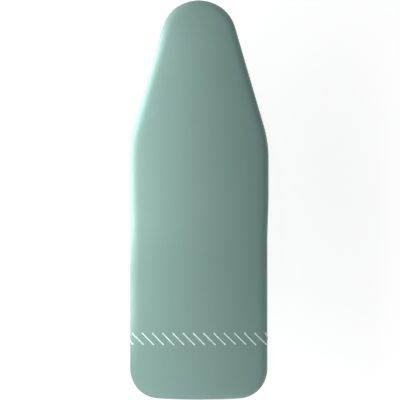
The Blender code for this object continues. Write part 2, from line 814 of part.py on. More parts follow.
def build_riser(name, body, pivot_y):
    rings = [section_ring(section) for section in riser_sections()]
    mesh = finish_mesh(loft_mesh(name, rings, cap_start=False))
    riser = add_object(name, mesh, "painted_steel", body)
    mirror = riser.modifiers.new("left_half", "MIRROR")
    mirror.merge_threshold = MERGE
    riser.location = (0, pivot_y, LOWER_PIVOT_Z)
    riser.rotation_euler = (-RISER_LEAN, 0, 0)
    top_y = pivot_y + UPPER_OFFSET_Y
    reach = RISER_HALF_WIDTH + RISER_RADIUS + CUT_OVERRUN
    hole = rods_mesh(
        f"{name}_hole",
        [((-reach, top_y, UPPER_PIVOT_Z), (reach, top_y, UPPER_PIVOT_Z))],
        PIVOT_HOLE_RADIUS,
        20,
    )
    boolean(riser, add_object(f"{name}_hole", hole))


# Base


def build_base_tube():
    half = tapered_side(
        BASE_NOSE_Y, BASE_NOSE_RADIUS, BASE_HALF_WIDTH, BASE_FILLET, steps=(8, 3)
    )
    half.append((BASE_HALF_WIDTH, BASE_END_Y))
    path = [(-x, y) for x, y in reversed(half)] + half[1:]
    curve = tube_curve("base_tube", [(x, y, BASE_Z) for x, y in path], BASE_RADIUS)
    add_object("base_tube", curve, "painted_steel", base_body)


def strap_rivet_places(pivot_y):
    """(x, y) of the rivets of one pivot's two straps."""
    for x in (-STRAP_X, STRAP_X):
        for y in (pivot_y - STRAP_RIVET_Y, pivot_y + STRAP_RIVET_Y):
            yield x, y


def build_base_strip(name, pivot_y, bumpers):
    x, y = STRIP_HALF_LENGTH - STRIP_CORNER, STRIP_WIDTH / 2 - STRIP_CORNER
    outline = []
    for turn, (sign_x, sign_y) in enumerate(((1, 1), (-1, 1), (-1, -1), (1, -1))):
        start = turn * math.pi / 2
        centre = (sign_x * x, pivot_y + sign_y * y)
        outline += arc(centre, STRIP_CORNER, start, start + math.pi / 2, 3)
    holes = [circle(place, RIVET_HOLE, 12) for place in strap_rivet_places(pivot_y)]
    if bumpers:
        for place_x in (-RISER_HALF_WIDTH, RISER_HALF_WIDTH):
            place = (place_x, pivot_y + BUMPER_OFFSET_Y)
            holes.append(circle(place, BUMPER_HOLE_RADIUS, 12))
    curve = plate_curve(name, [outline] + holes, STRIP_THICKNESS)
    strip = add_object(name, curve, "zinc_steel", base_body)
    strip.location.z = STRIP_TOP - STRIP_THICKNESS / 2


def build_straps(row, pivot_y):
    """Two pressed straps over a riser's crossbar, and the rivets that hold them down."""
    radius = RISER_RADIUS + GAP + STRAP_THICKNESS / 2
    foot_z = STRIP_TOP + GAP + STRAP_THICKNESS / 2
    front_half = [
        (STRAP_REACH, foot_z),
        (radius + STRAP_CORNER, foot_z),
        (radius, foot_z + STRAP_CORNER),
    ]
    path = front_half + arc((0, LOWER_PIVOT_Z), radius, 0, math.pi, 10)
    path += [(-y, z) for y, z in reversed(front_half)]
    for label, x in (("left", -STRAP_X), ("right", STRAP_X)):
        name = f"riser_strap_{row}_{label}"
        work = bmesh.new()
        rows = [
            [work.verts.new((x + side * STRAP_WIDTH / 2, pivot_y + y, z)) for side in (-1, 1)]
            for y, z in path
        ]
        for first, second in zip(rows, rows[1:]):
            work.faces.new((first[0], first[1], second[1], second[0]))
        mesh = bpy.data.meshes.new(name)
        work.to_mesh(mesh)
        work.free()
        strap = add_object(name, finish_mesh(mesh), "zinc_steel", base_body)
        sheet = strap.modifiers.new("sheet", "SOLIDIFY")
        sheet.thickness = STRAP_THICKNESS
        sheet.offset = 0
        sheet.use_even_offset = True
        low, high = foot_z - STRAP_THICKNESS, foot_z + STRAP_THICKNESS
        ends = [
            ((x, y, low), (x, y, high))
            for y in (pivot_y - STRAP_RIVET_Y, pivot_y + STRAP_RIVET_Y)
        ]
        holes = rods_mesh(f"{name}_holes", ends, RIVET_HOLE, 12)
        boolean(strap, add_object(f"{name}_holes", holes))
    over = foot_z + STRAP_THICKNESS / 2 + GAP
    under = STRIP_TOP - STRIP_THICKNESS - GAP
    profile = [
        (0, over + STRAP_RIVET_HEAD_HEIGHT),
        (STRAP_RIVET_HEAD_RADIUS - STRAP_RIVET_HEAD_TAPER, over + STRAP_RIVET_HEAD_HEIGHT),
        (STRAP_RIVET_HEAD_RADIUS, over),
        (RIVET_RADIUS, over),
        (RIVET_RADIUS, under),
        (STRAP_RIVET_END_RADIUS, under),
        (STRAP_RIVET_END_RADIUS - STRAP_RIVET_END_TAPER, under - STRAP_RIVET_END_HEIGHT),
        (0, under - STRAP_RIVET_END_HEIGHT),
    ]
    for number, (x, y) in enumerate(strap_rivet_places(pivot_y), start=1):
        rivet = turned(
            f"strap_rivet_{row}_{number}", profile, "zinc_steel", base_body, steps=10
        )
        rivet.location = (x, y, 0)


def build_rear_foot(label, side):
    """A moulded rubber boot pushed over the open end of the base tube."""
    name = f"rear_foot_{label}"
    x = side * BASE_HALF_WIDTH
    low = (x - FOOT_HALF_WIDTH, BASE_END_Y - BOOT_REAR, 0)
    high = (x + FOOT_HALF_WIDTH, BASE_END_Y + BOOT_FRONT, BOOT_HEIGHT)
    foot = add_object(name, box_mesh(name, low, high), "rubber", base_body)
    bevel(foot, BOOT_EDGE)
    mouth = BASE_END_Y + BOOT_FRONT + CUT_OVERRUN
    bore_ends = ((x, BASE_END_Y - GAP, BASE_Z), (x, mouth, BASE_Z))
    bore = rods_mesh(f"{name}_bore", [bore_ends], BASE_RADIUS + GAP, 20)
    boolean(foot, add_object(f"{name}_bore", bore))


def build_front_foot(label, side):
    """A grooved rubber block clipped up onto the tapering part of the base tube."""
    name = f"front_foot_{label}"
    normal = Vector((math.cos(TAPER_ANGLE), math.sin(TAPER_ANGLE)))
    flank = normal.y * BASE_NOSE_Y + BASE_NOSE_RADIUS
    centre_x = side * (flank - normal.y * CLIP_FOOT_Y) / normal.x
    centre = Vector((centre_x, CLIP_FOOT_Y, 0))
    turn = Matrix.Rotation(side * TAPER_ANGLE, 4, "Z")
    corner = Vector((FOOT_HALF_WIDTH, CLIP_FOOT_HALF_LENGTH, 0))
    mesh = box_mesh(name, -corner, corner + Vector((0, 0, CLIP_FOOT_HEIGHT)))
    foot = add_object(name, mesh, "rubber", base_body)
    foot.location = centre
    foot.rotation_euler.z = side * TAPER_ANGLE
    bevel(foot, CLIP_FOOT_EDGE)
    along = turn @ Vector((0, CLIP_FOOT_HALF_LENGTH + CUT_OVERRUN, 0))
    axis = centre + Vector((0, 0, BASE_Z))
    groove = rods_mesh(
        f"{name}_groove", [(axis - along, axis + along)], BASE_RADIUS + GAP, 20
    )
    boolean(foot, add_object(f"{name}_groove", groove))


def build_fold_bumper(label, side):
    """A rubber button pushed through the rear strip; the folded front riser lands on it."""
    base = STRIP_TOP + GAP
    under = STRIP_TOP - STRIP_THICKNESS - GAP
    profile = [
        (0, BUMPER_TOP),
        (BUMPER_RADIUS - BUMPER_CHAMFER, BUMPER_TOP),
        (BUMPER_RADIUS, BUMPER_TOP - BUMPER_CHAMFER),
        (BUMPER_RADIUS, base),
        (BUMPER_NECK_RADIUS, base),
        (BUMPER_NECK_RADIUS, under),
        (BUMPER_BARB_RADIUS, under),
        (BUMPER_BARB_RADIUS - BUMPER_BARB_TAPER, under - BUMPER_BARB_HEIGHT),
        (0, under - BUMPER_BARB_HEIGHT),
    ]
    bumper = turned(f"fold_bumper_{label}", profile, "rubber", base_body, steps=14)
    bumper.location = (side * RISER_HALF_WIDTH, REAR_PIVOT_Y + BUMPER_OFFSET_Y, 0)


build_cover()
build_hem_elastic()
build_foam_pad()
build_board_pan()
build_rim_tube()
build_hinge_bracket()
build_bracket_rivets()
build_pivot_hardware()
build_lock_knob()
build_riser("front_riser", front_riser_body, FRONT_PIVOT_Y)
build_riser("rear_riser", rear_riser_body, REAR_PIVOT_Y)
build_base_tube()
build_base_strip("base_strip_front", FRONT_PIVOT_Y, bumpers=False)
build_base_strip("base_strip_rear", REAR_PIVOT_Y, bumpers=True)
for row_name, row_y in (("front", FRONT_PIVOT_Y), ("rear", REAR_PIVOT_Y)):
    build_straps(row_name, row_y)
for side_name, side_sign in (("left", -1), ("right", 1)):
    build_rear_foot(side_name, side_sign)
    build_front_foot(side_name, side_sign)
    build_fold_bumper(side_name, side_sign)
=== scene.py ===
"""The finished look of the sleeve ironing board: cover, pad, stand, materials, light and camera.

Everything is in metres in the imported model's frame: +Z up, +Y towards the board's round nose.
"""

import json
import math
import random

import bmesh
import bpy
import numpy as np
from mathutils import Matrix, Vector
from mathutils.bvhtree import BVHTree


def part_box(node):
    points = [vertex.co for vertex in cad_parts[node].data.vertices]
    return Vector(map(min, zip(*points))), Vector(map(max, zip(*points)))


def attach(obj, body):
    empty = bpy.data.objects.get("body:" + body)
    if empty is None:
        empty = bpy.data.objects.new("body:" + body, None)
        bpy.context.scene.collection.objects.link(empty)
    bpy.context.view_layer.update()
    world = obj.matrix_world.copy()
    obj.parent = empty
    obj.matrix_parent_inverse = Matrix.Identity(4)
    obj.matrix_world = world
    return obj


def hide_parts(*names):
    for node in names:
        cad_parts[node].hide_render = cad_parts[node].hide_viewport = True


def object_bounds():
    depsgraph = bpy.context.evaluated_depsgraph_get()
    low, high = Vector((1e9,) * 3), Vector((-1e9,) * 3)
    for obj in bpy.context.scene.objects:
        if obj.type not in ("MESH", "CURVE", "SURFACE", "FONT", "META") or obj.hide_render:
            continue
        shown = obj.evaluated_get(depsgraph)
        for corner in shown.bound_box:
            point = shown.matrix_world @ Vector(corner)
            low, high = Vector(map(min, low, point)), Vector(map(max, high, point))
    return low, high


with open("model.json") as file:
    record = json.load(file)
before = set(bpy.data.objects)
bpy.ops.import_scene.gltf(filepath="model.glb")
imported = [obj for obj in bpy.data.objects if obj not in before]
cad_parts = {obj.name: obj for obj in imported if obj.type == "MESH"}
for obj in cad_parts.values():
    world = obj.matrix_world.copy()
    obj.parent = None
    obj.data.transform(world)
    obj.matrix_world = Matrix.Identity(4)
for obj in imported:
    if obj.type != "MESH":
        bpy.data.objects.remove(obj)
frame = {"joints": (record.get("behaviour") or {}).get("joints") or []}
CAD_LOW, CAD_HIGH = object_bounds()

MM = 0.001

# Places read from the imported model
HALF_WIDTH, HALF_LENGTH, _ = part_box("cover")[1]
PAN_LOW, PAN_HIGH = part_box("board_pan")
ELASTIC_LOW, ELASTIC_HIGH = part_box("hem_elastic")
ELASTIC_Z = (ELASTIC_LOW.z + ELASTIC_HIGH.z) / 2
ELASTIC_INSET = HALF_LENGTH - ELASTIC_HIGH.y + (ELASTIC_HIGH.z - ELASTIC_LOW.z) / 2
JOINTS = {joint["name"]: joint for joint in frame["joints"]}
FRONT_FOOT_PIVOT = Vector(JOINTS["front_riser_fold"]["pos_m"])
REAR_FOOT_PIVOT = Vector(JOINTS["rear_riser_fold"]["pos_m"])
FRONT_TOP_PIVOT = Vector(JOINTS["board_level"]["pos_m"])
REAR_TOP_PIVOT = FRONT_TOP_PIVOT + REAR_FOOT_PIVOT - FRONT_FOOT_PIVOT

# The board's outline from above
NOSE_RADIUS = 53.3 * MM
TAPER_ANGLE = math.radians(16.3)
SHOULDER_RADIUS = 157 * MM
SIDE_SHRINK = 1.7 * MM
SHRINK_START = 10 * MM
SHRINK_RUN = 70 * MM
HEEL_RADIUS = 42 * MM
HEEL_BOW_RADIUS = 983 * MM

# The cover's section: crown, rolled edge, side and hem
CROWN_TOP = 147.6 * MM
CROWN_HEIGHT = 3.4 * MM
CROWN_REACH = 50 * MM
EDGE_WIDTH = 13.5 * MM
EDGE_DROP = 8.8 * MM
ROLL_POWER = 2.6
CROWN_SMOOTHING = 120
HEM_STITCH_INSET = 16.2 * MM
ACROSS_CELLS = 46
ALONG_CELLS = 138
CASING_RADIUS = 2.1 * MM
COVER_THICKNESS = 0.5 * MM
SIMULATION_SCALE = 10
SIMULATION_STEPS = 14
MOST_STRETCH = 0.6 * MM
FORM_INSET = 0.65 * MM
PAD_INSET = 1.2 * MM

# The decorative row of slanting stitches near the heel
STITCH_ROW_FRONT = -185.5 * MM
STITCH_ROW_DEPTH = 17.0 * MM
STITCH_PITCH = 14.32 * MM
STITCH_FIRST_X = -108.0 * MM
STITCH_COUNT = 15
STITCH_WIDTH = 1.5 * MM
STITCH_HEIGHT = 0.55 * MM
STITCH_LOBES = 4

# The stand and its hardware
FLOOR_NOSE_RADIUS = 40 * MM
FLOOR_FILLET = 100 * MM
RISER_RADIUS = 6 * MM
RISER_BEND = 20 * MM
RISER_PRESS_START = 59 * MM
RISER_PRESS_RUN = 14 * MM
STRAP_SHEET = 1.6 * MM
STRAP_HOLE_OFFSET = 12.7 * MM
RIVET_HOLE = 2.2 * MM
PIVOT_HOLE = 3.2 * MM
PIVOT_SHAFT_MM = 2.9
PIVOT_HEAD_MM = 6.0
INNER_SHOULDER = 48.7 * MM
CLEARANCE = 0.3 * MM
RIM_RADIUS = 5 * MM
VENT_PITCH = 26 * MM
VENT_RADIUS_MM = 6.2

# Resolution and procedural texture
OUTLINE_SAMPLES = 1600
TURNED_STEPS = 40
WAVES_PER_MM = 0.314
WEAVE_PITCH_MM = 0.55
YARN_PITCH_MM = 0.42

# The replaceable finish that each material belongs to
SLOTS = {
    "cover_fabric": "cover_fabric", "pad_felt": "foam", "braided_elastic": "elastic",
    "zinc_steel": "zinc_steel", "powder_coat": "painted_steel", "rubber": "rubber",
    "knob_plastic": "knob_plastic", "nylon": "nylon", "brass": "brass",
}

random.seed(7)
RANDOM = np.random.default_rng(7)


# Small mesh and object helpers


def link(item):
    bpy.context.scene.collection.objects.link(item)
    return item


def mesh_object(name, points, faces):
    """A smooth object from points and faces."""
    mesh = bpy.data.meshes.new(name)
    mesh.from_pydata([tuple(p) for p in points], [], faces)
    mesh.validate()
    mesh.shade_smooth()
    return link(bpy.data.objects.new(name, mesh))


def smooth(mesh, angle):
    """Shade a mesh smooth, but for edges sharper than an angle in degrees."""
    mesh.shade_smooth()
    mesh.set_sharp_from_angle(angle=math.radians(angle))


def from_bmesh(name, work, smooth_angle=40):
    """An object from a bmesh, smooth but for its sharp edges."""
    bmesh.ops.recalc_face_normals(work, faces=work.faces)
    mesh = bpy.data.meshes.new(name)
    work.to_mesh(mesh)
    work.free()
    smooth(mesh, smooth_angle)
    return link(bpy.data.objects.new(name, mesh))


def apply_modifiers(item):
    """Turn an object's evaluated shape into its own mesh."""
    graph = bpy.context.evaluated_depsgraph_get()
    made = bpy.data.meshes.new_from_object(item.evaluated_get(graph))
    item.modifiers.clear()
    item.data = made


def discard(item):
    bpy.data.objects.remove(item, do_unlink=True)


def thicken(item, thickness, offset=0):
    """Give a skin a thickness, applied; offset 0 is even on both sides."""
    shell = item.modifiers.new("sheet", "SOLIDIFY")
    shell.thickness = thickness
    shell.offset = offset
    shell.use_even_offset = offset == 0
    apply_modifiers(item)


def around(count):
    """Angles evenly spaced once around a circle."""
    return np.linspace(0, 2 * math.pi, count, endpoint=False)


def arc(centre, radius, start, end, steps):
    """Points (x, y) along an arc, ends included."""
    return [
        (centre[0] + radius * math.cos(a), centre[1] + radius * math.sin(a))
        for a in np.linspace(start, end, steps + 1)
    ]


def loft(name, rings, closed=True, caps=(True, True), smooth_angle=40):
    """A skin through rings of as many points each."""
    work = bmesh.new()
    rows = [[work.verts.new(p) for p in ring] for ring in rings]
    count = len(rows[0])
    for row, following in zip(rows, rows[1:]):
        for i in range(count if closed else count - 1):
            j = (i + 1) % count
            work.faces.new((row[i], row[j], following[j], following[i]))
    if caps[0]:
        work.faces.new(reversed(rows[0]))
    if caps[1]:
        work.faces.new(rows[-1])
    return from_bmesh(name, work, smooth_angle)


def turned(name, profile, place, side=None):
    """A solid of revolution; profile is (radius, height). side turns its axis to +X or -X."""
    rings = [
        [(max(r, 1e-5) * math.cos(a), max(r, 1e-5) * math.sin(a), z) for a in around(TURNED_STEPS)]
        for r, z in profile
    ]
    is_ring = profile[0] == profile[-1]
    piece = loft(name, rings, caps=(not is_ring, not is_ring))
    work = bmesh.new()
    work.from_mesh(piece.data)
    bmesh.ops.remove_doubles(work, verts=work.verts, dist=1e-7 if is_ring else 2e-5)
    bmesh.ops.recalc_face_normals(work, faces=work.faces)
    matrix = Matrix.Translation(place)
    if side is not None:
        matrix = matrix @ Matrix.Rotation(side * math.pi / 2, 4, "Y")
    bmesh.ops.transform(work, matrix=matrix, verts=work.verts)
    work.to_mesh(piece.data)
    work.free()
    smooth(piece.data, 32)
    return piece


def dome(radius, base, rise, start=math.pi / 2, end=0.0, steps=9):
    """The profile of a domed head, its rim at the base."""
    angles = np.linspace(start, end, steps)
    return [(radius * math.cos(a), base + rise * math.sin(a)) for a in angles]


def steps_from(base, *pairs):
    """Profile points from (radius, height) in millimetres, heights measured from the base."""
    return [(radius * MM, base + height * MM) for radius, height in pairs]


def tube(name, points, radius, closed=False, roundness=6):
    """A round tube along points, as a curve."""
    curve = bpy.data.curves.new(name, "CURVE")
    curve.dimensions = "3D"
    curve.bevel_depth = radius
    curve.bevel_resolution = roundness
    curve.use_fill_caps = not closed
    spline = curve.splines.new("POLY")
    spline.points.add(len(points) - 1)
    for point, place in zip(spline.points, points):
        point.co = (*place, 1)
    spline.use_cyclic_u = closed
    spline.use_smooth = True
    return link(bpy.data.objects.new(name, curve))


def rod(start, end, radius, sides=32):
    """A plain cylinder, for cutting."""
    start, end = Vector(start), Vector(end)
    turn = (end - start).to_track_quat("Z", "Y").to_matrix().to_4x4()
    matrix = Matrix.Translation((start + end) / 2) @ turn
    work = bmesh.new()
    bmesh.ops.create_cone(
        work, cap_ends=True, segments=sides, radius1=radius, radius2=radius,
        depth=(end - start).length, matrix=matrix,
    )
    return from_bmesh("rod", work)


def box(name, low, high):
    """A plain box between two corners."""
    low, high = Vector(low), Vector(high)
    work = bmesh.new()
    bmesh.ops.create_cube(work, size=1)
    bmesh.ops.scale(work, vec=high - low, verts=work.verts)
    bmesh.ops.translate(work, vec=(low + high) / 2, verts=work.verts)
    return from_bmesh(name, work)


def boolean(target, tools, operation="DIFFERENCE"):
    """Cut or join tools, applied, and remove them."""
    for tool in tools:
        modifier = target.modifiers.new("boolean", "BOOLEAN")
        modifier.operation = operation
        modifier.object = tool
        apply_modifiers(target)
        discard(tool)


def rounded(target, width, segments=3, angle=35):
    """Round a piece's sharp edges, applied."""
    modifier = target.modifiers.new("round", "BEVEL")
    modifier.width = width
    modifier.segments = segments
    modifier.limit_method = "ANGLE"
    modifier.angle_limit = math.radians(angle)
    apply_modifiers(target)
    smooth(target.data, 50)


def join(name, items):
    """One object from several meshes."""
    work = bmesh.new()
    graph = bpy.context.evaluated_depsgraph_get()
    for item in items:
        work.from_mesh(bpy.data.meshes.new_from_object(item.evaluated_get(graph)))
        discard(item)
    return from_bmesh(name, work)


def place(piece, body, material, *nodes, slot=None):
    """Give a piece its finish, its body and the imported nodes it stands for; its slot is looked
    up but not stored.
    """
    piece.data.materials.clear()
    piece.data.materials.append(material)
    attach(piece, body)
    if nodes:
        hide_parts(*nodes)
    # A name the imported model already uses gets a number, so only the first part counts
    slot = slot or SLOTS.get(material.name.split(".")[0])
    return piece


def box_and_spot(node):
    """A node's two corners and the point on the floor under its middle."""
    low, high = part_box(node)
    return low, high, Vector(((low.x + high.x) / 2, (low.y + high.y) / 2, 0))


# Materials


class Finish:
    """A Principled material, with short calls for the procedural detail that feeds it."""

    def __init__(self, name, roughness=0.5, metallic=0.0, **constants):
        self.material = bpy.data.materials.new(name)
        self.material.use_nodes = True
        self.tree = self.material.node_tree
        self.shader = self.tree.nodes["Principled BSDF"]
        self.shader.inputs["Roughness"].default_value = roughness
        self.shader.inputs["Metallic"].default_value = metallic
        for socket, value in constants.items():
            self.shader.inputs[socket.replace("_", " ")].default_value = value
        self.place = self.node("TexCoord", {}, "Object")

    def feed(self, socket, value):
        """Link a socket, or set its value."""
        if isinstance(value, bpy.types.NodeSocket):
            self.tree.links.new(value, socket)
        elif socket.type == "RGBA":
            socket.default_value = (*value, 1.0)
        else:
            socket.default_value = value

    def node(self, kind, inputs, output, **settings):
        """Add a node with its inputs linked or set, and return one of its outputs."""
        made = self.tree.nodes.new("ShaderNode" + kind)
        for key, value in settings.items():
            setattr(made, key, value)
        for socket, value in inputs.items():
            self.feed(made.inputs[socket], value)
        return made.outputs[output]

    def scaled(self, vector, factors):
        """Coordinates multiplied along each axis."""
        return self.node("Mapping", {"Vector": vector, "Scale": factors}, "Vector")

    def uv_in_mm(self):
        return self.scaled(self.node("TexCoord", {}, "UV"), (1000, 1000, 1000))

    def noise(self, scale, detail=3.0, roughness=0.5, vector=None):
        inputs = {"Vector": vector or self.place, "Scale": scale}
        inputs.update({"Detail": detail, "Roughness": roughness})
        return self.node("TexNoise", inputs, "Fac")

    def cells(self, scale, output="Distance"):
        return self.node("TexVoronoi", {"Vector": self.place, "Scale": scale}, output)

    def waves(self, scale, vector, direction="X", distortion=0.0):
        inputs = {"Vector": vector, "Scale": scale, "Distortion": distortion}
        return self.node("TexWave", inputs, "Fac", bands_direction=direction)

    def math(self, operation, *values):
        return self.node("Math", dict(enumerate(values)), 0, operation=operation)

    def between(self, factor, low, high, start=0.0, end=1.0):
        """low to high as factor goes from start to end."""
        return self.node("MapRange", dict(enumerate((factor, start, end, low, high))), 0)

    def tones(self, factor, dark, light, start=0.3, end=0.7):
        """A colour from dark to light as factor goes from start to end."""
        made = self.tree.nodes.new("ShaderNodeValToRGB")
        self.feed(made.inputs["Fac"], factor)
        first, last = made.color_ramp.elements
        first.position, first.color = start, (*dark, 1.0)
        last.position, last.color = end, (*light, 1.0)
        return made.outputs["Color"]

    def mix(self, factor, first, second, blend="MIX"):
        inputs = {"Factor": factor, "A": first, "B": second}
        return self.node("Mix", inputs, "Result", data_type="RGBA", blend_type=blend)

    def bump(self, height, distance, strength, normal=None):
        inputs = {"Strength": strength, "Distance": distance, "Height": height}
        if normal is not None:
            inputs["Normal"] = normal
        return self.node("Bump", inputs, "Normal")

    def worn_edges(self, spread=0.03):
        """How exposed an edge is, from 0 to 1, from the shape's own pointiness."""
        point = self.node("NewGeometry", {}, "Pointiness")
        return self.between(point, 0.0, 1.0, 0.5, 0.5 + spread)

    def end(self, colour, roughness=None, normal=None):
        for name, value in (("Base Color", colour), ("Roughness", roughness), ("Normal", normal)):
            if value is not None:
                self.feed(self.shader.inputs[name], value)
        return self.material


def cover_fabric():
    """Taut satin-finished cotton with a faint weave, soft tonal drift and small slubs."""
    made = Finish(
        "cover_fabric", Sheen_Weight=0.07, Sheen_Roughness=0.6, Sheen_Tint=(0.80, 1.0, 0.95, 1.0),
        Specular_IOR_Level=0.15,
    )
    cloth = made.uv_in_mm()
    slub = made.noise(0.32, 4.0, 0.6, made.scaled(cloth, (1.0, 0.12, 1.0)))
    base = made.tones(made.noise(5.5, 2.0), (0.191, 0.306, 0.272), (0.201, 0.316, 0.283))
    threads = made.tones(slub, (0.985, 0.985, 0.985), (1.01, 1.01, 1.01), 0.35, 0.68)
    colour = made.mix(1.0, base, threads, "MULTIPLY")
    rough = made.between(made.noise(60, 3.0), 0.58, 0.66, 0.3, 0.7)
    warp = made.math("SUBTRACT", made.waves(WAVES_PER_MM / WEAVE_PITCH_MM, cloth, "X"), 0.5)
    weft = made.math("SUBTRACT", made.waves(WAVES_PER_MM / WEAVE_PITCH_MM, cloth, "Y"), 0.5)
    weave = made.bump(made.math("MULTIPLY", warp, weft), 0.00010, 0.5)
    return made.end(colour, rough, made.bump(made.noise(22, 2.0), 0.0004, 0.25, weave))


def yarn(name, dark, light, along="X"):
    """Twisted, slightly shiny embroidery thread lying side by side, with painted shade in the
    grooves between its strands.
    """
    made = Finish(name, roughness=0.48, Sheen_Weight=0.25, Sheen_Roughness=0.4)
    lanes = made.waves(WAVES_PER_MM / YARN_PITCH_MM, made.uv_in_mm(), along, 0.4)
    # Painted shade: the colour darkens to the dark tone in the grooves between strands, where the
    # bump sinks; the light tone is the thread's own colour.
    colour = made.tones(lanes, dark, light, 0.0, 0.75)
    return made.end(colour, normal=made.bump(lanes, 0.00012, 0.6))


def braided_elastic():
    made = Finish("braided_elastic", roughness=0.8, Sheen_Weight=0.2)
    ribs = made.waves(0.5, made.scaled(made.place, (1000, 1000, 1000)), "DIAGONAL")
    # Painted shade: the colour darkens towards the dark tone in the troughs between ribs, where
    # the bump sinks; the light tone is the elastic's own colour.
    colour = made.tones(ribs, (0.55, 0.57, 0.56), (0.86, 0.87, 0.85), 0.0, 0.8)
    return made.end(colour, normal=made.bump(ribs, 0.0002, 0.7))


def felt():
    """Needled wool felt: fibres in all directions, a few darker ones."""
    made = Finish("pad_felt", roughness=0.92, Sheen_Weight=0.35, Sheen_Roughness=0.6)
    fibres = made.noise(900, 8.0, 0.75, made.scaled(made.place, (1.0, 0.35, 1.0)))
    threads = made.tones(fibres, (0.52, 0.49, 0.40), (0.80, 0.77, 0.67))
    clumps = made.tones(made.noise(70, 4.0), (0.62, 0.59, 0.50), (0.76, 0.73, 0.63))
    return made.end(made.mix(0.45, threads, clumps), normal=made.bump(fibres, 0.0004, 0.8))


def zinc_steel():
    """Bright zinc plate: spangle, faint rolling marks and dulled patches."""
    made = Finish("zinc_steel", metallic=1.0)
    streaks = made.noise(55, 5.0, 0.6, made.scaled(made.place, (1.0, 30.0, 30.0)))
    spangle = made.math("MULTIPLY", made.cells(260, "Color"), 0.10)
    shade = made.math("MULTIPLY_ADD", streaks, 0.18, spangle)
    colour = made.tones(shade, (0.44, 0.455, 0.47), (0.66, 0.675, 0.69), 0.02, 0.24)
    stains = made.between(made.noise(14, 4.0, 0.6), 0.0, 0.10)
    rough = made.math("ADD", made.between(streaks, 0.24, 0.36), stains)
    return made.end(colour, rough, made.bump(streaks, 0.00006, 0.35))


def powder_coat():
    """Silver-grey powder coat with fine orange peel, chipped thin on exposed edges."""
    made = Finish("powder_coat", Coat_Weight=0.15, Coat_Roughness=0.2)
    drift = made.noise(9, 3.0)
    paint = made.tones(drift, (0.375, 0.395, 0.40), (0.425, 0.445, 0.45))
    scuffs = made.between(made.noise(120, 6.0, 0.7), 0.0, 1.0, 0.66, 0.74)
    worn = made.math("MULTIPLY", made.worn_edges(0.08), scuffs)
    colour = made.mix(worn, paint, (0.20, 0.205, 0.21))
    rough = made.between(drift, 0.30, 0.38, 0.3, 0.7)
    return made.end(colour, rough, made.bump(made.noise(650, 2.0, 0.4), 0.00008, 0.5))


def rubber():
    """Moulded dark rubber, dusty in random patches, rubbed on its edges."""
    made = Finish("rubber", Specular_IOR_Level=0.3)
    dust = made.noise(35, 5.0, 0.65)
    colour = made.tones(dust, (0.028, 0.029, 0.031), (0.060, 0.062, 0.064), 0.3, 0.75)
    edge = made.mix(made.math("MULTIPLY", made.worn_edges(), 0.5), colour, (0.10, 0.10, 0.10))
    rough = made.between(dust, 0.62, 0.82, 0.3, 0.7)
    return made.end(edge, rough, made.bump(made.noise(700, 4.0, 0.6), 0.00012, 0.6))


def knob_plastic():
    """Spark-textured moulded plastic."""
    made = Finish("knob_plastic", Specular_IOR_Level=0.5)
    haze = made.noise(40, 3.0)
    colour = made.tones(haze, (0.045, 0.052, 0.056), (0.070, 0.078, 0.082))
    rough = made.between(haze, 0.42, 0.55, 0.3, 0.7)
    return made.end(colour, rough, made.bump(made.cells(1500), 0.00010, 0.5))


def nylon():
    made = Finish("nylon", Subsurface_Weight=0.15, Subsurface_Scale=0.002)
    haze = made.noise(160, 3.0)
    colour = made.tones(haze, (0.76, 0.74, 0.66), (0.84, 0.82, 0.75))
    return made.end(colour, made.between(haze, 0.36, 0.5), made.bump(haze, 0.00005, 0.3))


def brass():
    made = Finish("brass", metallic=1.0)
    rings = made.noise(400, 3.0, 0.5, made.scaled(made.place, (20.0, 1.0, 1.0)))
    colour = made.tones(rings, (0.60, 0.44, 0.18), (0.76, 0.60, 0.30))
    return made.end(colour, made.between(rings, 0.2, 0.38), made.bump(rings, 0.00005, 0.4))


ZINC, COAT, RUBBER = zinc_steel(), powder_coat(), rubber()


# The outline as dense points with their outward normals


def outline_right():
    """(x, y, normal x, normal y) down the right side, from the nose tip to the heel's middle."""
    nose_y = HALF_LENGTH - NOSE_RADIUS
    normal = Vector((math.cos(TAPER_ANGLE), math.sin(TAPER_ANGLE)))
    flank = normal.y * nose_y + NOSE_RADIUS
    shoulder_x = HALF_WIDTH - SHOULDER_RADIUS
    shoulder_y = (flank - SHOULDER_RADIUS - normal.x * shoulder_x) / normal.y
    bow_y = HEEL_BOW_RADIUS - HALF_LENGTH
    corner_x = HALF_WIDTH - SIDE_SHRINK - HEEL_RADIUS
    corner_drop = math.sqrt((HEEL_BOW_RADIUS - HEEL_RADIUS) ** 2 - corner_x**2)
    corner_y = bow_y - corner_drop
    turn_end = -math.atan2(corner_drop, corner_x)

    def swept(centre, radius, start, end, steps):
        turns = np.linspace(start, end, steps)
        spots = arc(centre, radius, start, end, steps - 1)
        return [(*spot, math.cos(a), math.sin(a)) for spot, a in zip(spots, turns)]

    points = swept((0, nose_y), NOSE_RADIUS, math.pi / 2, TAPER_ANGLE, 120)
    points += swept((shoulder_x, shoulder_y), SHOULDER_RADIUS, TAPER_ANGLE, 0, 60)
    for y in np.linspace(shoulder_y, corner_y, 200)[1:-1]:
        share = min(max((SHRINK_START - y) / SHRINK_RUN, 0.0), 1.0)
        shrink = SIDE_SHRINK * share * share * (3 - 2 * share)
        slope = 6 * share * (1 - share) * SIDE_SHRINK / SHRINK_RUN
        points.append((HALF_WIDTH - shrink, y, 1.0, -slope))
    points += swept((corner_x, corner_y), HEEL_RADIUS, 0, turn_end, 120)
    points += swept((0, bow_y), HEEL_BOW_RADIUS, turn_end, -math.pi / 2, 40)[1:]
    return np.array(points)


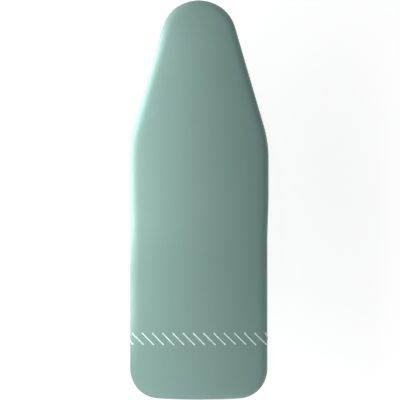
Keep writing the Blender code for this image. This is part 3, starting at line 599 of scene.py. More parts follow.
OUTLINE = outline_right()
OUTLINE_LENGTH = np.concatenate(
    [[0], np.cumsum(np.linalg.norm(np.diff(OUTLINE[:, :2], axis=0), axis=1))]
)
HALF_GIRTH = OUTLINE_LENGTH[-1]


def on_outline(distances):
    """Rows (x, y, normal x, normal y) at distances along the right half, from the nose tip."""
    return np.stack(
        [np.interp(distances, OUTLINE_LENGTH, OUTLINE[:, k]) for k in range(4)], axis=1
    )


def mirrored(rows):
    return rows * np.array([-1, 1, -1, 1])


def drawn_in(rows, inset, z):
    """Points of outline rows drawn in by an inset, at a height."""
    flat = rows[:, :2] - rows[:, 2:] * inset
    return np.column_stack([flat, np.full(len(flat), z)])


def full_loop(count):
    """Rows evenly spaced once around the outline, starting and ending near the nose tip."""
    half = on_outline((np.arange(count // 2) + 0.5) * HALF_GIRTH / (count // 2))
    return np.concatenate([half, mirrored(half)[::-1]])


def nearest(spots, point):
    """Which of the spots is nearest to a point, and how far it is, seen from above."""
    away = np.hypot(spots[:, 0] - point[0], spots[:, 1] - point[1])
    return np.argmin(away), np.min(away)


# Cover


NOSE_SIDE_START = NOSE_RADIUS * math.radians(42)
HEEL_SIDE_END = HALF_GIRTH - 85 * MM


def crowded_ends(cells):
    """Places from -1 to 1 that crowd together at both ends, where the cloth turns down."""
    even = np.linspace(-1, 1, cells + 1)
    return 0.25 * even + 0.75 * np.sin(even * math.pi / 2)


def edge_rows():
    """Outline rows of the patch's four sides: nose, right, heel and left."""
    across = crowded_ends(ACROSS_CELLS)
    share = (crowded_ends(ALONG_CELLS) + 1) / 2
    right = on_outline(NOSE_SIDE_START + (HEEL_SIDE_END - NOSE_SIDE_START) * share)
    reach = np.abs(across)
    nose = on_outline(reach * NOSE_SIDE_START)
    heel = on_outline(HALF_GIRTH - reach * (HALF_GIRTH - HEEL_SIDE_END))
    nose, heel = (np.where(across[:, None] < 0, mirrored(row), row) for row in (nose, heel))
    return nose, right, heel, mirrored(right)


def crown_heights(plan):
    """Height of the cover's top over a grid of plan points."""
    loop = full_loop(OUTLINE_SAMPLES)
    far = np.array([nearest(loop, p)[1] for p in plan.reshape(-1, 2)]).reshape(plan.shape[:2])
    reach = np.clip(far / CROWN_REACH, 0, 1)
    crown = CROWN_HEIGHT * (1 - (1 - reach) ** 2)
    for _ in range(CROWN_SMOOTHING):
        inner = (crown[:-2, 1:-1] + crown[2:, 1:-1] + crown[1:-1, :-2] + crown[1:-1, 2:]) / 4
        crown[1:-1, 1:-1] = inner
    roll = np.clip(1 - far / EDGE_WIDTH, 0, 1)
    fall = EDGE_DROP * (1 - np.sqrt(1 - roll**ROLL_POWER))
    return CROWN_TOP - CROWN_HEIGHT + crown - fall


def side_profile():
    """(inset, z) down the cover's side, under the rim and round the elastic."""
    start = CROWN_TOP - CROWN_HEIGHT - EDGE_DROP
    side = ((0.1, 1.2), (0.5, 3.0), (1.3, 5.0), (2.2, 7.2), (3.2, 9.6), (4.6, 12.0))
    under = ((6.6, 119.9), (9.2, 119.3), (12.0, 119.2), (14.8, 119.2), (17.4, 119.1))
    profile = [(inset * MM, start - drop * MM) for inset, drop in side]
    profile += [(inset * MM, z * MM) for inset, z in under]
    for turn in np.radians((215, 250, 285, 320, 355, 30, 65, 100)):
        inset = ELASTIC_INSET + CASING_RADIUS * math.cos(turn)
        profile.append((inset, ELASTIC_Z + CASING_RADIUS * math.sin(turn)))
    profile.append((ELASTIC_INSET - 3.6 * MM, ELASTIC_Z + 0.9 * MM))
    return profile


def band(first, second):
    """Quads between two closed rings of vertex numbers."""
    size = len(first)
    return [(first[i], first[i + 1 - size], second[i + 1 - size], second[i]) for i in range(size)]


def cover_sheet():
    """The whole cover as one quilt of quads, its cloth coordinates in metres."""
    nose, right, heel, left = edge_rows()
    v = (crowded_ends(ALONG_CELLS)[:, None, None] + 1) / 2
    u = (crowded_ends(ACROSS_CELLS)[None, :, None] + 1) / 2
    ends = (1 - v) * nose[None, :, :2] + v * heel[None, :, :2]
    sides = (1 - u) * left[:, None, :2] + u * right[:, None, :2]
    corners = (1 - v) * ((1 - u) * nose[0, :2] + u * nose[-1, :2])
    corners = corners + v * ((1 - u) * heel[0, :2] + u * heel[-1, :2])
    plan = ends + sides - corners
    heights = crown_heights(plan)
    columns, rows = ACROSS_CELLS + 1, ALONG_CELLS + 1
    points = np.column_stack([plan.reshape(-1, 2), heights.ravel()])
    cloth = [plan.reshape(-1, 2)]
    faces = []
    for j in range(rows - 1):
        for i in range(columns - 1):
            a = j * columns + i
            faces.append((a, a + columns, a + columns + 1, a + 1))
    loop = list(range(columns))
    loop += [j * columns + columns - 1 for j in range(1, rows)]
    loop += [(rows - 1) * columns + i for i in range(columns - 2, -1, -1)]
    loop += [j * columns for j in range(rows - 2, 0, -1)]
    rim = np.concatenate([nose, right[1:], heel[::-1][1:], left[::-1][1:-1]])
    rings = [points]
    previous = loop
    before = drawn_in(rim, 0, heights[0, 0])
    down = np.zeros(len(rim))
    count = len(points)
    for inset, z in side_profile():
        ring = drawn_in(rim, inset, z)
        down = down + np.linalg.norm(ring - before, axis=1)
        before = ring
        rings.append(ring)
        cloth.append(rim[:, :2] + rim[:, 2:] * down[:, None])
        following = list(range(count, count + len(rim)))
        count += len(rim)
        faces += band(previous, following)
        previous = following
    cover = mesh_object("cover_cloth", np.concatenate(rings), faces)
    layer = cover.data.uv_layers.new(name="cloth")
    cloth = np.concatenate(cloth)
    uv = cloth[[corner.vertex_index for corner in cover.data.loops]]
    layer.data.foreach_set("uv", uv.ravel())
    recalculate(cover)
    area = 2 * np.trapz(OUTLINE[:, 0], -OUTLINE[:, 1])
    flat_area = area + 2 * HALF_GIRTH * float(down.mean())
    return cover, len(points), len(rim), flat_area, float(down.max())


def form_under_cover(cover, top_count, rim_count):
    """The firm body that the cloth is stretched over: the cover's shape, a little smaller."""
    count = top_count + 8 * rim_count
    points = np.array([v.co for v in cover.data.vertices])[:count]
    normals = np.array([v.normal for v in cover.data.vertices])[:count]
    faces = [tuple(p.vertices) for p in cover.data.polygons if max(p.vertices) < count]
    last = count - rim_count
    for a, b, c, d in band(range(last, count), range(count, count + rim_count)):
        faces += [(a, b, c, d), (d, c, count + rim_count)]
    points = points - normals * FORM_INSET
    wall = points[last:] + (0, 0, 6 * MM)
    points = np.concatenate([points, wall, [(0, 0, 128 * MM)]])
    form = mesh_object("form", points, faces)
    recalculate(form)
    return form


def recalculate(item):
    """Turn every face of a closed or open skin the same way out."""
    work = bmesh.new()
    work.from_mesh(item.data)
    bmesh.ops.recalc_face_normals(work, faces=work.faces)
    work.to_mesh(item.data)
    work.free()


def stretch_cloth(cover, form, top_count, rim_count):
    """Pull the cloth tight over the form by simulation, its elastic casing held in place.

    It runs ten times as large, because the solver keeps cloth at least a millimetre away.
    """
    before = np.array([v.co for v in cover.data.vertices])
    for item in (cover, form):
        item.data.transform(Matrix.Scale(SIMULATION_SCALE, 4))
    held = cover.vertex_groups.new(name="held")
    held.add(list(range(top_count + 10 * rim_count, len(before))), 1.0, "REPLACE")
    form.modifiers.new("collision", "COLLISION")
    form.collision.thickness_outer = 0.3 * MM * SIMULATION_SCALE
    form.collision.thickness_inner = 4 * MM * SIMULATION_SCALE
    form.collision.cloth_friction = 2
    cloth = cover.modifiers.new("cloth", "CLOTH")
    settings = {
        "quality": 6, "mass": 0.4, "tension_stiffness": 12, "compression_stiffness": 12,
        "shear_stiffness": 6, "bending_stiffness": 2.0, "air_damping": 8, "shrink_min": 0.004,
        "vertex_group_mass": "held",
    }
    for name, value in settings.items():
        setattr(cloth.settings, name, value)
    cloth.settings.effector_weights.gravity = 0
    cloth.collision_settings.distance_min = 0.3 * MM * SIMULATION_SCALE
    cloth.collision_settings.collision_quality = 3
    cloth.collision_settings.use_self_collision = False
    cloth.point_cache.frame_end = SIMULATION_STEPS
    for step in range(1, SIMULATION_STEPS + 1):
        bpy.context.scene.frame_set(step)
    apply_modifiers(cover)
    shift = np.array([v.co for v in cover.data.vertices]) / SIMULATION_SCALE - before
    size = np.linalg.norm(shift, axis=1)
    shift *= np.minimum(1.0, MOST_STRETCH / np.maximum(size, 1e-9))[:, None]
    ends = np.array([edge.vertices[:] for edge in cover.data.edges])
    ends = np.concatenate([ends, ends[:, ::-1]])
    for _ in range(6):
        total = shift.copy()
        np.add.at(total, ends[:, 0], shift[ends[:, 1]])
        shift = total / (1 + np.bincount(ends[:, 0], minlength=len(shift)))[:, None]
    cover.data.vertices.foreach_set("co", (before + shift).ravel())
    cover.data.update()
    bpy.context.scene.frame_set(1)


def wandering(count, spacing):
    """A slow random value from -1 to 1 along a line of that many steps."""
    knots = np.arange(0, count + spacing, spacing)
    return np.interp(np.arange(count), knots, RANDOM.uniform(-1, 1, len(knots)))


def gather_hem(cover):
    """Fold the cloth of the hem into gathers, deepest round the nose and the heel's corners."""
    points = np.array([v.co for v in cover.data.vertices])
    normals = np.array([v.normal for v in cover.data.vertices])
    steps = np.arange(0, HALF_GIRTH, 1 * MM)
    even = on_outline(steps)
    turning = np.abs(np.gradient(np.unwrap(np.arctan2(even[:, 3], even[:, 2])))) / MM
    kernel = np.hanning(21) / np.hanning(21).sum()
    bend = np.convolve(np.pad(turning, 10, "edge"), kernel, mode="valid")
    low = np.where(points[:, 2] < 131 * MM)[0]
    for side in (1, -1):
        pitch = 7.0 * MM + 3.0 * MM * wandering(len(steps), 15)
        phase = np.cumsum(2 * math.pi * MM / pitch)
        swell = 0.6 + 0.4 * wandering(len(steps), 11)
        mine = low[points[low, 0] * side >= 0]
        flat = points[mine, :2] * (side, 1)
        close = np.array([nearest(even, p)[0] for p in flat])
        along = steps[close]
        depth = np.clip((130.5 * MM - points[mine, 2]) / (11 * MM), 0, 1)
        inset = np.hypot(*(even[close, :2] - flat).T)
        casing = np.clip((25 * MM - inset) / (6 * MM), 0.45, 1)
        amount = 0.18 * MM + 0.75 * MM * np.clip(bend[close] / 20, 0, 1)
        wave = np.sin(np.interp(along, steps, phase)) * np.interp(along, steps, swell)
        wave = np.sign(wave) * np.abs(wave) ** 0.8
        push = amount * depth**1.5 * casing * wave
        points[mine] += normals[mine] * push[:, None]
    cover.data.vertices.foreach_set("co", points.ravel())
    cover.data.update()


def build_cover():
    cover, top_count, rim_count, flat_area, hem_reach = cover_sheet()
    form = form_under_cover(cover, top_count, rim_count)
    stretch_cloth(cover, form, top_count, rim_count)
    discard(form)
    pad = build_pad(cover, top_count, rim_count)
    cover.modifiers.new("finer", "SUBSURF").levels = 1
    apply_modifiers(cover)
    gather_hem(cover)
    skin = BVHTree.FromObject(cover, bpy.context.evaluated_depsgraph_get())
    thicken(cover, COVER_THICKNESS, -1)
    cover.data.shade_smooth()
    return cover, pad, skin, flat_area, hem_reach


# The decorative row and the hem's seam, sewn on the finished cloth


def cross_section(skin, y):
    """(travel, x, z) across the cloth at y: travel is x on the top, and length round the edge."""
    middle = Vector((0, y, 128 * MM))
    hits = []
    for turn in np.linspace(math.radians(89), math.radians(-28), 220):
        hit = skin.ray_cast(middle, Vector((math.cos(turn), 0, math.sin(turn))))[0]
        if hit is not None:
            hits.append((hit.x, hit.z))
    hits = np.array(hits)
    split = int(np.argmax(hits[:, 0] > hits[:, 0].max() - 3 * MM))
    steps = np.hypot(*np.diff(hits, axis=0).T)
    travel = hits[:, 0].copy()
    travel[split + 1 :] = travel[split] + np.cumsum(steps[split:])
    return travel, hits


def cloth_point(sections, travel, y):
    """A point of the cloth at a travel across from the middle, at y between two sections."""
    found = []
    for section_y, (run, hits) in sections:
        x = np.interp(abs(travel), run, hits[:, 0]) * (1 if travel >= 0 else -1)
        found.append((section_y, x, np.interp(abs(travel), run, hits[:, 1])))
    found = np.array(found)
    return Vector(
        (np.interp(y, found[:, 0], found[:, 1]), y, np.interp(y, found[:, 0], found[:, 2]))
    )


def build_decor_stitches(skin):
    """Slanting satin-stitch bars, side by side across the board and over both edges."""
    ys = np.linspace(STITCH_ROW_FRONT - STITCH_ROW_DEPTH - 3 * MM, STITCH_ROW_FRONT + 3 * MM, 5)
    sections = [(y, cross_section(skin, y)) for y in ys]
    length = STITCH_ROW_DEPTH * math.sqrt(2)
    steps, lanes = 72, 8
    points, faces, uvs = [], [], []
    for number in range(STITCH_COUNT):
        start = Vector((STITCH_FIRST_X + number * STITCH_PITCH, STITCH_ROW_FRONT))
        slant = math.radians(-45 + random.uniform(-1.2, 1.2))
        along = Vector((math.cos(slant), math.sin(slant)))
        aside = Vector((-along.y, along.x))
        reach = length * random.uniform(0.98, 1.02)
        base = len(points)
        for i in range(steps + 1):
            share = i / steps
            end = min(share, 1 - share) * reach
            lobe = abs(math.sin(math.pi * share * STITCH_LOBES))
            half = STITCH_WIDTH / 2 * min(1.0, math.sqrt(max(end, 0) / (1.1 * MM) + 0.02))
            half *= (0.78 + 0.30 * math.sqrt(lobe)) * (1.22 if end < 2.6 * MM else 1.0)
            ridge = 0.75 + 0.35 * lobe + 0.08 * math.sin(2 * math.pi * share * reach / (0.62 * MM))
            for j in range(lanes + 1):
                across = -1 + 2 * j / lanes
                spot = start + along * share * reach + aside * across * half
                here = cloth_point(sections, spot.x, spot.y)
                next_x = cloth_point(sections, spot.x + 0.5 * MM, spot.y)
                next_y = cloth_point(sections, spot.x, spot.y + 0.5 * MM)
                up = (next_x - here).cross(next_y - here).normalized()
                lift = STITCH_HEIGHT * ridge * math.sqrt(max(1 - across**2, 0)) * min(
                    1.0, end / (0.8 * MM) + 0.15
                )
                points.append(here + up * (lift - 0.12 * MM))
                uvs.append((across * half, share * reach))
        for i in range(steps):
            for j in range(lanes):
                a = base + i * (lanes + 1) + j
                faces.append((a, a + 1, a + lanes + 2, a + lanes + 1))
    piece = mesh_object("decor_stitches", points, faces)
    layer = piece.data.uv_layers.new(name="thread")
    order = [corner.vertex_index for corner in piece.data.loops]
    layer.data.foreach_set("uv", np.array(uvs)[order].ravel())
    thicken(piece, 0.35 * MM, 1 if piece.data.polygons[0].normal.z < 0 else -1)
    piece.data.shade_smooth()
    return piece


def build_hem_seam(skin):
    """The running stitch that closes the elastic's casing, seen from below."""
    rows = full_loop(2 * int(HALF_GIRTH / (4.6 * MM)))
    stitches = []
    work = bmesh.new()
    layer = work.loops.layers.uv.new("thread")
    radius = 0.27 * MM
    for x, y, nx, ny in rows:
        centre = Vector((x - nx * HEM_STITCH_INSET, y - ny * HEM_STITCH_INSET, 0))
        along = Vector((-ny, nx, 0))
        spots = []
        for share in (-1, -0.55, 0, 0.55, 1):
            from_below = centre + along * share * 1.45 * MM + Vector((0, 0, 100 * MM))
            hit = skin.ray_cast(from_below, Vector((0, 0, 1)))[0]
            if hit is None:
                break
            spots.append(hit + Vector((0, 0, 0.30 * MM * share**2 - 0.12 * MM)))
        if len(spots) == 5:
            stitches.append(spots)
    for spots in stitches:
        rings = []
        for k, spot in enumerate(spots):
            ahead = (spots[min(k + 1, 4)] - spots[max(k - 1, 0)]).normalized()
            right = ahead.cross(Vector((0, 0, 1))).normalized()
            up = right.cross(ahead)
            size = radius * (0.55 if k in (0, 4) else 1)
            rings.append(
                [
                    work.verts.new(spot + (right * math.cos(a) + up * math.sin(a)) * size)
                    for a in around(6)
                ]
            )
        for k in range(4):
            for i in range(6):
                j = (i + 1) % 6
                face = work.faces.new((rings[k][i], rings[k][j], rings[k + 1][j], rings[k + 1][i]))
                corners = ((i, k), (i + 1, k), (i + 1, k + 1), (i, k + 1))
                for corner, (a, b) in zip(face.loops, corners):
                    corner[layer].uv = (a * 0.3 * MM, b * 0.7 * MM)
        work.faces.new(reversed(rings[0]))
        work.faces.new(rings[4])
    return from_bmesh("hem_seam", work)


# Pad


def build_pad(cover, top_count, rim_count):
    """The felt pad: the cloth's own shape from just below it, flat against the plate."""
    count = top_count + rim_count
    points = np.array([v.co for v in cover.data.vertices])
    normals = np.array([v.normal for v in cover.data.vertices])
    loop = full_loop(OUTLINE_SAMPLES)
    outward = np.array([(*loop[nearest(loop, p)[0], 2:], 0) for p in points[:count]])
    low = np.clip((142 * MM - points[:count, 2]) / (4 * MM), 0, 1)[:, None]
    normals = (1 - low) * normals[:count] + low * outward
    faces = [tuple(p.vertices) for p in cover.data.polygons if max(p.vertices) < count]
    bottom = PAN_HIGH.z + 0.25 * MM
    rim = points[top_count:count]
    inward = points[top_count + 9 * rim_count : top_count + 10 * rim_count] - rim
    inward[:, 2] = 0
    inward /= np.linalg.norm(inward, axis=1)[:, None]
    rings = [points[:count] - normals * PAD_INSET]
    rings[0][top_count:, 2] = np.maximum(rings[0][top_count:, 2], bottom + 0.3 * MM)
    for inset in (2.2, 5.5):
        ring = rim + inward * inset * MM
        ring[:, 2] = bottom
        rings.append(ring)
    for start in (top_count, count):
        middle = start + rim_count
        faces += band(range(start, middle), range(middle, middle + rim_count))
    faces.append(range(count + rim_count, count + 2 * rim_count))
    pad = mesh_object("pad_felt", np.concatenate(rings), faces)
    recalculate(pad)
    smooth(pad.data, 60)
    return pad


# Stand


def build_stand():
    """Floor tube, strips, straps, risers and feet."""
    low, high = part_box("base_tube")
    radius = (high.z - low.z) / 2
    z = (high.z + low.z) / 2
    half_width = high.x - radius
    nose_y = high.y - radius - FLOOR_NOSE_RADIUS
    normal = Vector((math.cos(TAPER_ANGLE), math.sin(TAPER_ANGLE)))
    flank = normal.y * nose_y + FLOOR_NOSE_RADIUS
    shoulder_x = half_width - FLOOR_FILLET
    shoulder_y = (flank - FLOOR_FILLET - normal.x * shoulder_x) / normal.y
    half = arc((0, nose_y), FLOOR_NOSE_RADIUS, math.pi / 2, TAPER_ANGLE, 26)
    half += arc((shoulder_x, shoulder_y), FLOOR_FILLET, TAPER_ANGLE, 0, 12)
    half.append((half_width, low.y))
    path = [(-x, y, z) for x, y in reversed(half)] + [(x, y, z) for x, y in half[1:]]
    place(tube("floor_tube", path, radius), "base", COAT, "base_tube")
    for row, pivot in (("front", FRONT_FOOT_PIVOT), ("rear", REAR_FOOT_PIVOT)):
        build_riser(row, pivot)
        build_straps(row, pivot)
        build_strap_rivets(row)
        build_strip(row, pivot)
    build_welds(half_width, low.z)
    for label, side in (("left", -1), ("right", 1)):
        node = f"rear_foot_{label}"
        low, high, spot = box_and_spot(node)
        hole = ((side * half_width, low.y + 6 * MM, z), (side * half_width, high.y + 9 * MM, z))
        treads = [spot.y + k * 4.4 * MM for k in (-1.5, -0.5, 0.5, 1.5)]
        foot = treaded_foot(f"boot_{label}", low, high, 4.2 * MM, hole, radius, treads)
        place(foot, "base", RUBBER, node)
        node = f"front_foot_{label}"
        low, high, spot = box_and_spot(node)
        hole = ((0, -30 * MM, z), (0, 30 * MM, z))
        treads = [k * 4.6 * MM for k in (-2, -1, 0, 1, 2)]
        corner = Vector((12 * MM, 15 * MM, high.z))
        opposite = corner * Vector((-1, -1, 0))
        foot = treaded_foot(
            f"clip_foot_{label}", opposite, corner, 3.4 * MM, hole, radius, treads
        )
        spot.x = side * (flank - normal.y * spot.y) / normal.x
        turn = Matrix.Rotation(side * TAPER_ANGLE, 4, "Z")
        foot.data.transform(Matrix.Translation(spot) @ turn)
        place(foot, "base", RUBBER, node)
        build_bumper(label)


def build_riser(row, pivot):
    """A bent tube whose arms are pressed flat at the top, smoothly."""
    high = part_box(f"{row}_riser")[1]
    radius, bend = RISER_RADIUS, RISER_BEND
    half_width = high.x - radius
    arm = FRONT_TOP_PIVOT - FRONT_FOOT_PIVOT
    depth, width, corner = 1.6 * MM, 8.5 * MM, 5 * MM
    flat_x = high.x - depth
    # (x, height, outward x and height, half depth, half width, squareness)
    sections = [(0.0, 0.0, 0.0, -1.0, radius, radius, 1.0)]
    for turn in np.linspace(0, math.pi / 2, 13):
        x, up = math.sin(turn), -math.cos(turn)
        sections.append(
            (half_width - bend + bend * x, bend + bend * up, x, up, radius, radius, 1.0)
        )
    for share in np.linspace(0, 1, 11):
        ease = share * share * (3 - 2 * share)
        x = half_width + (flat_x - half_width) * ease
        up = RISER_PRESS_START + RISER_PRESS_RUN * share
        deep = radius + (depth - radius) * ease
        wide = radius + (width - radius) * math.sqrt(ease)
        sections.append((x, up, 1.0, 0.0, deep, wide, 1.0 - 0.74 * ease))
    shoulder = arm.length + 12 * MM - corner
    for turn in np.linspace(0, math.pi / 2, 9):
        up = shoulder + corner * math.sin(turn)
        wide = width - corner * (1 - math.cos(turn))
        sections.append((flat_x, up, 1.0, 0.0, depth, wide, 0.26))
    rings = []
    for x, up, out_x, out_up, deep, wide, square in sections:
        ring = []
        for a in around(28):
            c, s = math.cos(a), math.sin(a)
            across = math.copysign(abs(c) ** square, c) * deep
            aside = math.copysign(abs(s) ** square, s) * wide
            ring.append((x + across * out_x, aside, up + across * out_up))
        rings.append(ring)
    mirrored_rings = [[(-x, y, z) for x, y, z in ring] for ring in rings[:0:-1]]
    riser = loft(f"riser_{row}_tube", mirrored_rings + rings)
    lean = Matrix.Rotation(-math.atan2(arm.y, arm.z), 4, "X")
    riser.data.transform(Matrix.Translation(pivot) @ lean)
    ends = Vector((60 * MM, 0, 0))
    boolean(riser, [rod(pivot + arm - ends, pivot + arm + ends, PIVOT_HOLE)])
    smooth(riser.data, 48)
    place(riser, f"{row}_riser", COAT, f"{row}_riser")


def build_straps(row, pivot):
    """Sheet straps bent over the riser's crossbar, with a foot on each side."""
    for label in ("left", "right"):
        node = f"riser_strap_{row}_{label}"
        low, high, spot = box_and_spot(node)
        radius = high.z - pivot.z - STRAP_SHEET / 2
        foot_z = low.z + STRAP_SHEET / 2
        bend = 2.0 * MM
        half = [((high.y - low.y) / 2, foot_z)]
        half += arc((radius + bend, foot_z + bend), bend, -math.pi / 2, -math.pi, 5)
        path = half + arc((0, pivot.z), radius, 0, math.pi, 24)
        path += [(-y, z) for y, z in reversed(half)]
        rings = [[(side, pivot.y + y, z) for y, z in path] for side in (low.x, high.x)]
        strap = loft(f"strap_{row}_{label}", rings, closed=False, caps=(False, False))
        thicken(strap, STRAP_SHEET)
        depth = Vector((0, 0, 3 * MM))
        holes = [Vector((spot.x, pivot.y + s * STRAP_HOLE_OFFSET, foot_z)) for s in (-1, 1)]
        boolean(strap, [rod(hole - depth, hole + depth, RIVET_HOLE) for hole in holes])
        rounded(strap, 0.35 * MM, 2, 50)
        place(strap, "base", ZINC, node)


def build_strap_rivets(row):
    """Rivets with a domed head on the strap and an upset, hollow end under the strip."""
    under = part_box(f"strap_rivet_{row}_1")[0].z
    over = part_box(f"riser_strap_{row}_left")[0].z + STRAP_SHEET
    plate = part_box(f"base_strip_{row}")[0].z
    profile = dome(3.5 * MM, over + 0.02 * MM, 1.7 * MM)
    profile += steps_from(over, (3.5, 0.02), (1.9, 0.02))
    profile += steps_from(plate, (1.9, -0.02), (3.2, -0.02), (3.1, -0.7))
    profile += steps_from(under, (2.4, 0), (1.2, 0), (0.9, 0.5), (0, 0.5))
    for number in range(1, 5):
        node = f"strap_rivet_{row}_{number}"
        spot = box_and_spot(node)[2]
        place(turned(f"rivet_{row}_{number}", profile, spot), "base", ZINC, node)


def plate_mesh(name, outlines, low_z, high_z):
    """A flat plate from outlines; those after the first are holes."""
    curve = bpy.data.curves.new(name, "CURVE")
    curve.dimensions = "2D"
    curve.fill_mode = "BOTH"
    curve.extrude = (high_z - low_z) / 2
    for outline in outlines:
        spline = curve.splines.new("POLY")
        spline.points.add(len(outline) - 1)
        for point, spot in zip(spline.points, outline):
            point.co = (spot[0], spot[1], 0, 1)
        spline.use_cyclic_u = True
    holder = link(bpy.data.objects.new(name, curve))
    holder.location.z = (low_z + high_z) / 2
    bpy.context.view_layer.update()
    graph = bpy.context.evaluated_depsgraph_get()
    mesh = bpy.data.meshes.new_from_object(holder.evaluated_get(graph))
    mesh.transform(holder.matrix_world)
    discard(holder)
    work = bmesh.new()
    work.from_mesh(mesh)
    bmesh.ops.remove_doubles(work, verts=work.verts, dist=1e-6)
    flat = math.radians(1)
    bmesh.ops.dissolve_limit(work, angle_limit=flat, verts=work.verts, edges=work.edges)
    return from_bmesh(name, work)


def build_strip(row, pivot):
    """A flat strip with round corners, drilled for the rivets and, at the rear, the bumpers."""
    node = f"base_strip_{row}"
    low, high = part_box(node)
    corner = 6 * MM
    outline = []
    for turn, (sx, sy) in enumerate(((1, 1), (-1, 1), (-1, -1), (1, -1))):
        centre = (sx * (high.x - corner), pivot.y + sy * ((high.y - low.y) / 2 - corner))
        outline += arc(centre, corner, turn * math.pi / 2, (turn + 1) * math.pi / 2, 8)
    holes = [
        ((x, pivot.y + y), RIVET_HOLE)
        for x in (-16 * MM, 16 * MM)
        for y in (-STRAP_HOLE_OFFSET, STRAP_HOLE_OFFSET)
    ]
    if row == "rear":
        holes += [(box_and_spot(f"fold_bumper_{side}")[2], 2.5 * MM) for side in ("left", "right")]
    rounds = [arc(spot, radius, 0, 2 * math.pi, 24)[:-1] for spot, radius in holes]
    strip = plate_mesh(f"strip_{row}", [outline] + rounds, low.z, high.z)
    rounded(strip, 0.4 * MM, 2, 60)
    place(strip, "base", ZINC, node)


def build_welds(half_width, tube_low):
    """Rippled weld beads where the strips meet the floor tube."""
    beads = []
    for pivot in (FRONT_FOOT_PIVOT, REAR_FOOT_PIVOT):
        for side, edge in ((-1, -1), (-1, 1), (1, -1), (1, 1)):
            rings = []
            for share in np.linspace(0, 1, 29):
                x = side * half_width + (share - 0.5) * 11 * MM
                size = 1.5 * MM * (1 + 0.13 * math.sin(share * 11 * 2 * math.pi))
                size *= min(1, math.sqrt(max(min(share, 1 - share), 0) * 9) + 0.1)
                y, z = pivot.y + edge * 18.2 * MM, tube_low - 0.1 * MM
                rings.append(
                    [(x, y + math.cos(a) * size, z + math.sin(a) * size * 0.8) for a in around(14)]
                )
            beads.append(loft("bead", rings, smooth_angle=80))
    place(join("weld_beads", beads), "base", ZINC)


def treaded_foot(name, low, high, softness, hole, radius, treads):
    """A rounded rubber block, bored for the tube, with tread grooves below."""
    foot = box(name, low, high)
    rounded(foot, softness, 6, 40)
    cuts = [rod(*hole, radius + 0.25 * MM)]
    for y in treads:
        groove = (low.x - 1 * MM, y - 0.7 * MM, -1 * MM), (high.x + 1 * MM, y + 0.7 * MM, 0.9 * MM)
        cuts.append(box("tread", *groove))
    boolean(foot, cuts)
    smooth(foot.data, 40)
    return foot


def build_bumper(label):
    node = f"fold_bumper_{label}"
    low, high, spot = box_and_spot(node)
    strip_low, strip_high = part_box("base_strip_rear")
    soft = 1.5 * MM
    profile = steps_from(high.z, (0, 0), (4.2, 0))
    profile += arc((4.4 * MM, high.z - soft), soft, math.pi / 2 - 0.1, 0, 5)
    profile += steps_from(
        strip_high.z + CLEARANCE, (5.6, 4), (5.6, 1.6), (6.0, 1.2), (6.0, 0), (2.2, 0)
    )
    profile += steps_from(strip_low.z - CLEARANCE, (2.2, 0), (3.4, 0))
    profile += steps_from(low.z, (1.9, 0), (0, 0))
    place(turned(f"bumper_{label}", profile, spot), "base", RUBBER, node)


# Hardware under the board


def build_board_hardware():
    """Bracket, rivets, pivots and washers."""
    build_bracket()
    for number in range(1, 7):
        node = f"bracket_rivet_{number}"
        low, high, spot = box_and_spot(node)
        under = low.z + 1.65 * MM
        profile = steps_from(
            PAN_HIGH.z + 0.05 * MM, (0, 1.2), (3.0, 1.1), (4.0, 0.4), (4.0, 0), (1.9, 0)
        )
        profile += steps_from(under, (1.9, 0), (3.7, 0))
        profile += dome(3.7 * MM, under - 0.1 * MM, -1.5 * MM, 0.05, math.pi / 2, 8)
        place(turned(f"plate_rivet_{number}", profile, spot), "board", ZINC, node)
    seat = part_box("hinge_bracket")[1].x + 0.1 * MM
    shaft, head = PIVOT_SHAFT_MM, PIVOT_HEAD_MM
    profile = dome(head * MM, seat, 2.6 * MM) + steps_from(seat, (shaft, 0))
    profile += steps_from(
        INNER_SHOULDER, (shaft, 0), (head, 0), (head, -2.0), (head - 0.9, -2.9), (0, -2.9)
    )
    for node, pivot, side in (
        ("pivot_rivet_front_left", FRONT_TOP_PIVOT, -1),
        ("pivot_rivet_rear_left", REAR_TOP_PIVOT, -1),
        ("pivot_rivet_rear_right", REAR_TOP_PIVOT, 1),
    ):
        spot = Vector((0, pivot.y, pivot.z))
        place(turned(f"fine_{node}", profile, spot, side), "board", ZINC, node)
    build_clamp_bolt()
    plastic = nylon()
    for row, pivot in (("front", FRONT_TOP_PIVOT), ("rear", REAR_TOP_PIVOT)):
        for label, side in (("left", -1), ("right", 1)):
            node = f"pivot_washer_{row}_{label}"
            place(ring_washer(f"nylon_{row}_{label}", node, pivot, side), "board", plastic, node)
    washer = ring_washer("steel_washer", "knob_washer", FRONT_TOP_PIVOT, 1)
    place(washer, "board", ZINC, "knob_washer")


def ring_washer(name, node, pivot, side):
    """A flat washer with softened corners."""
    low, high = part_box(node)
    start, end = sorted((abs(low.x), abs(high.x)))
    outer, inner, soft = (high.z - low.z) / 2, PIVOT_HOLE, 0.25 * MM
    profile = [
        (outer - soft, end), (outer, end - soft), (outer, start + soft), (outer - soft, start),
        (inner + soft, start), (inner, start + soft), (inner, end - soft), (inner + soft, end),
        (outer - soft, end),
    ]
    return turned(name, profile, Vector((0, pivot.y, pivot.z)), side)


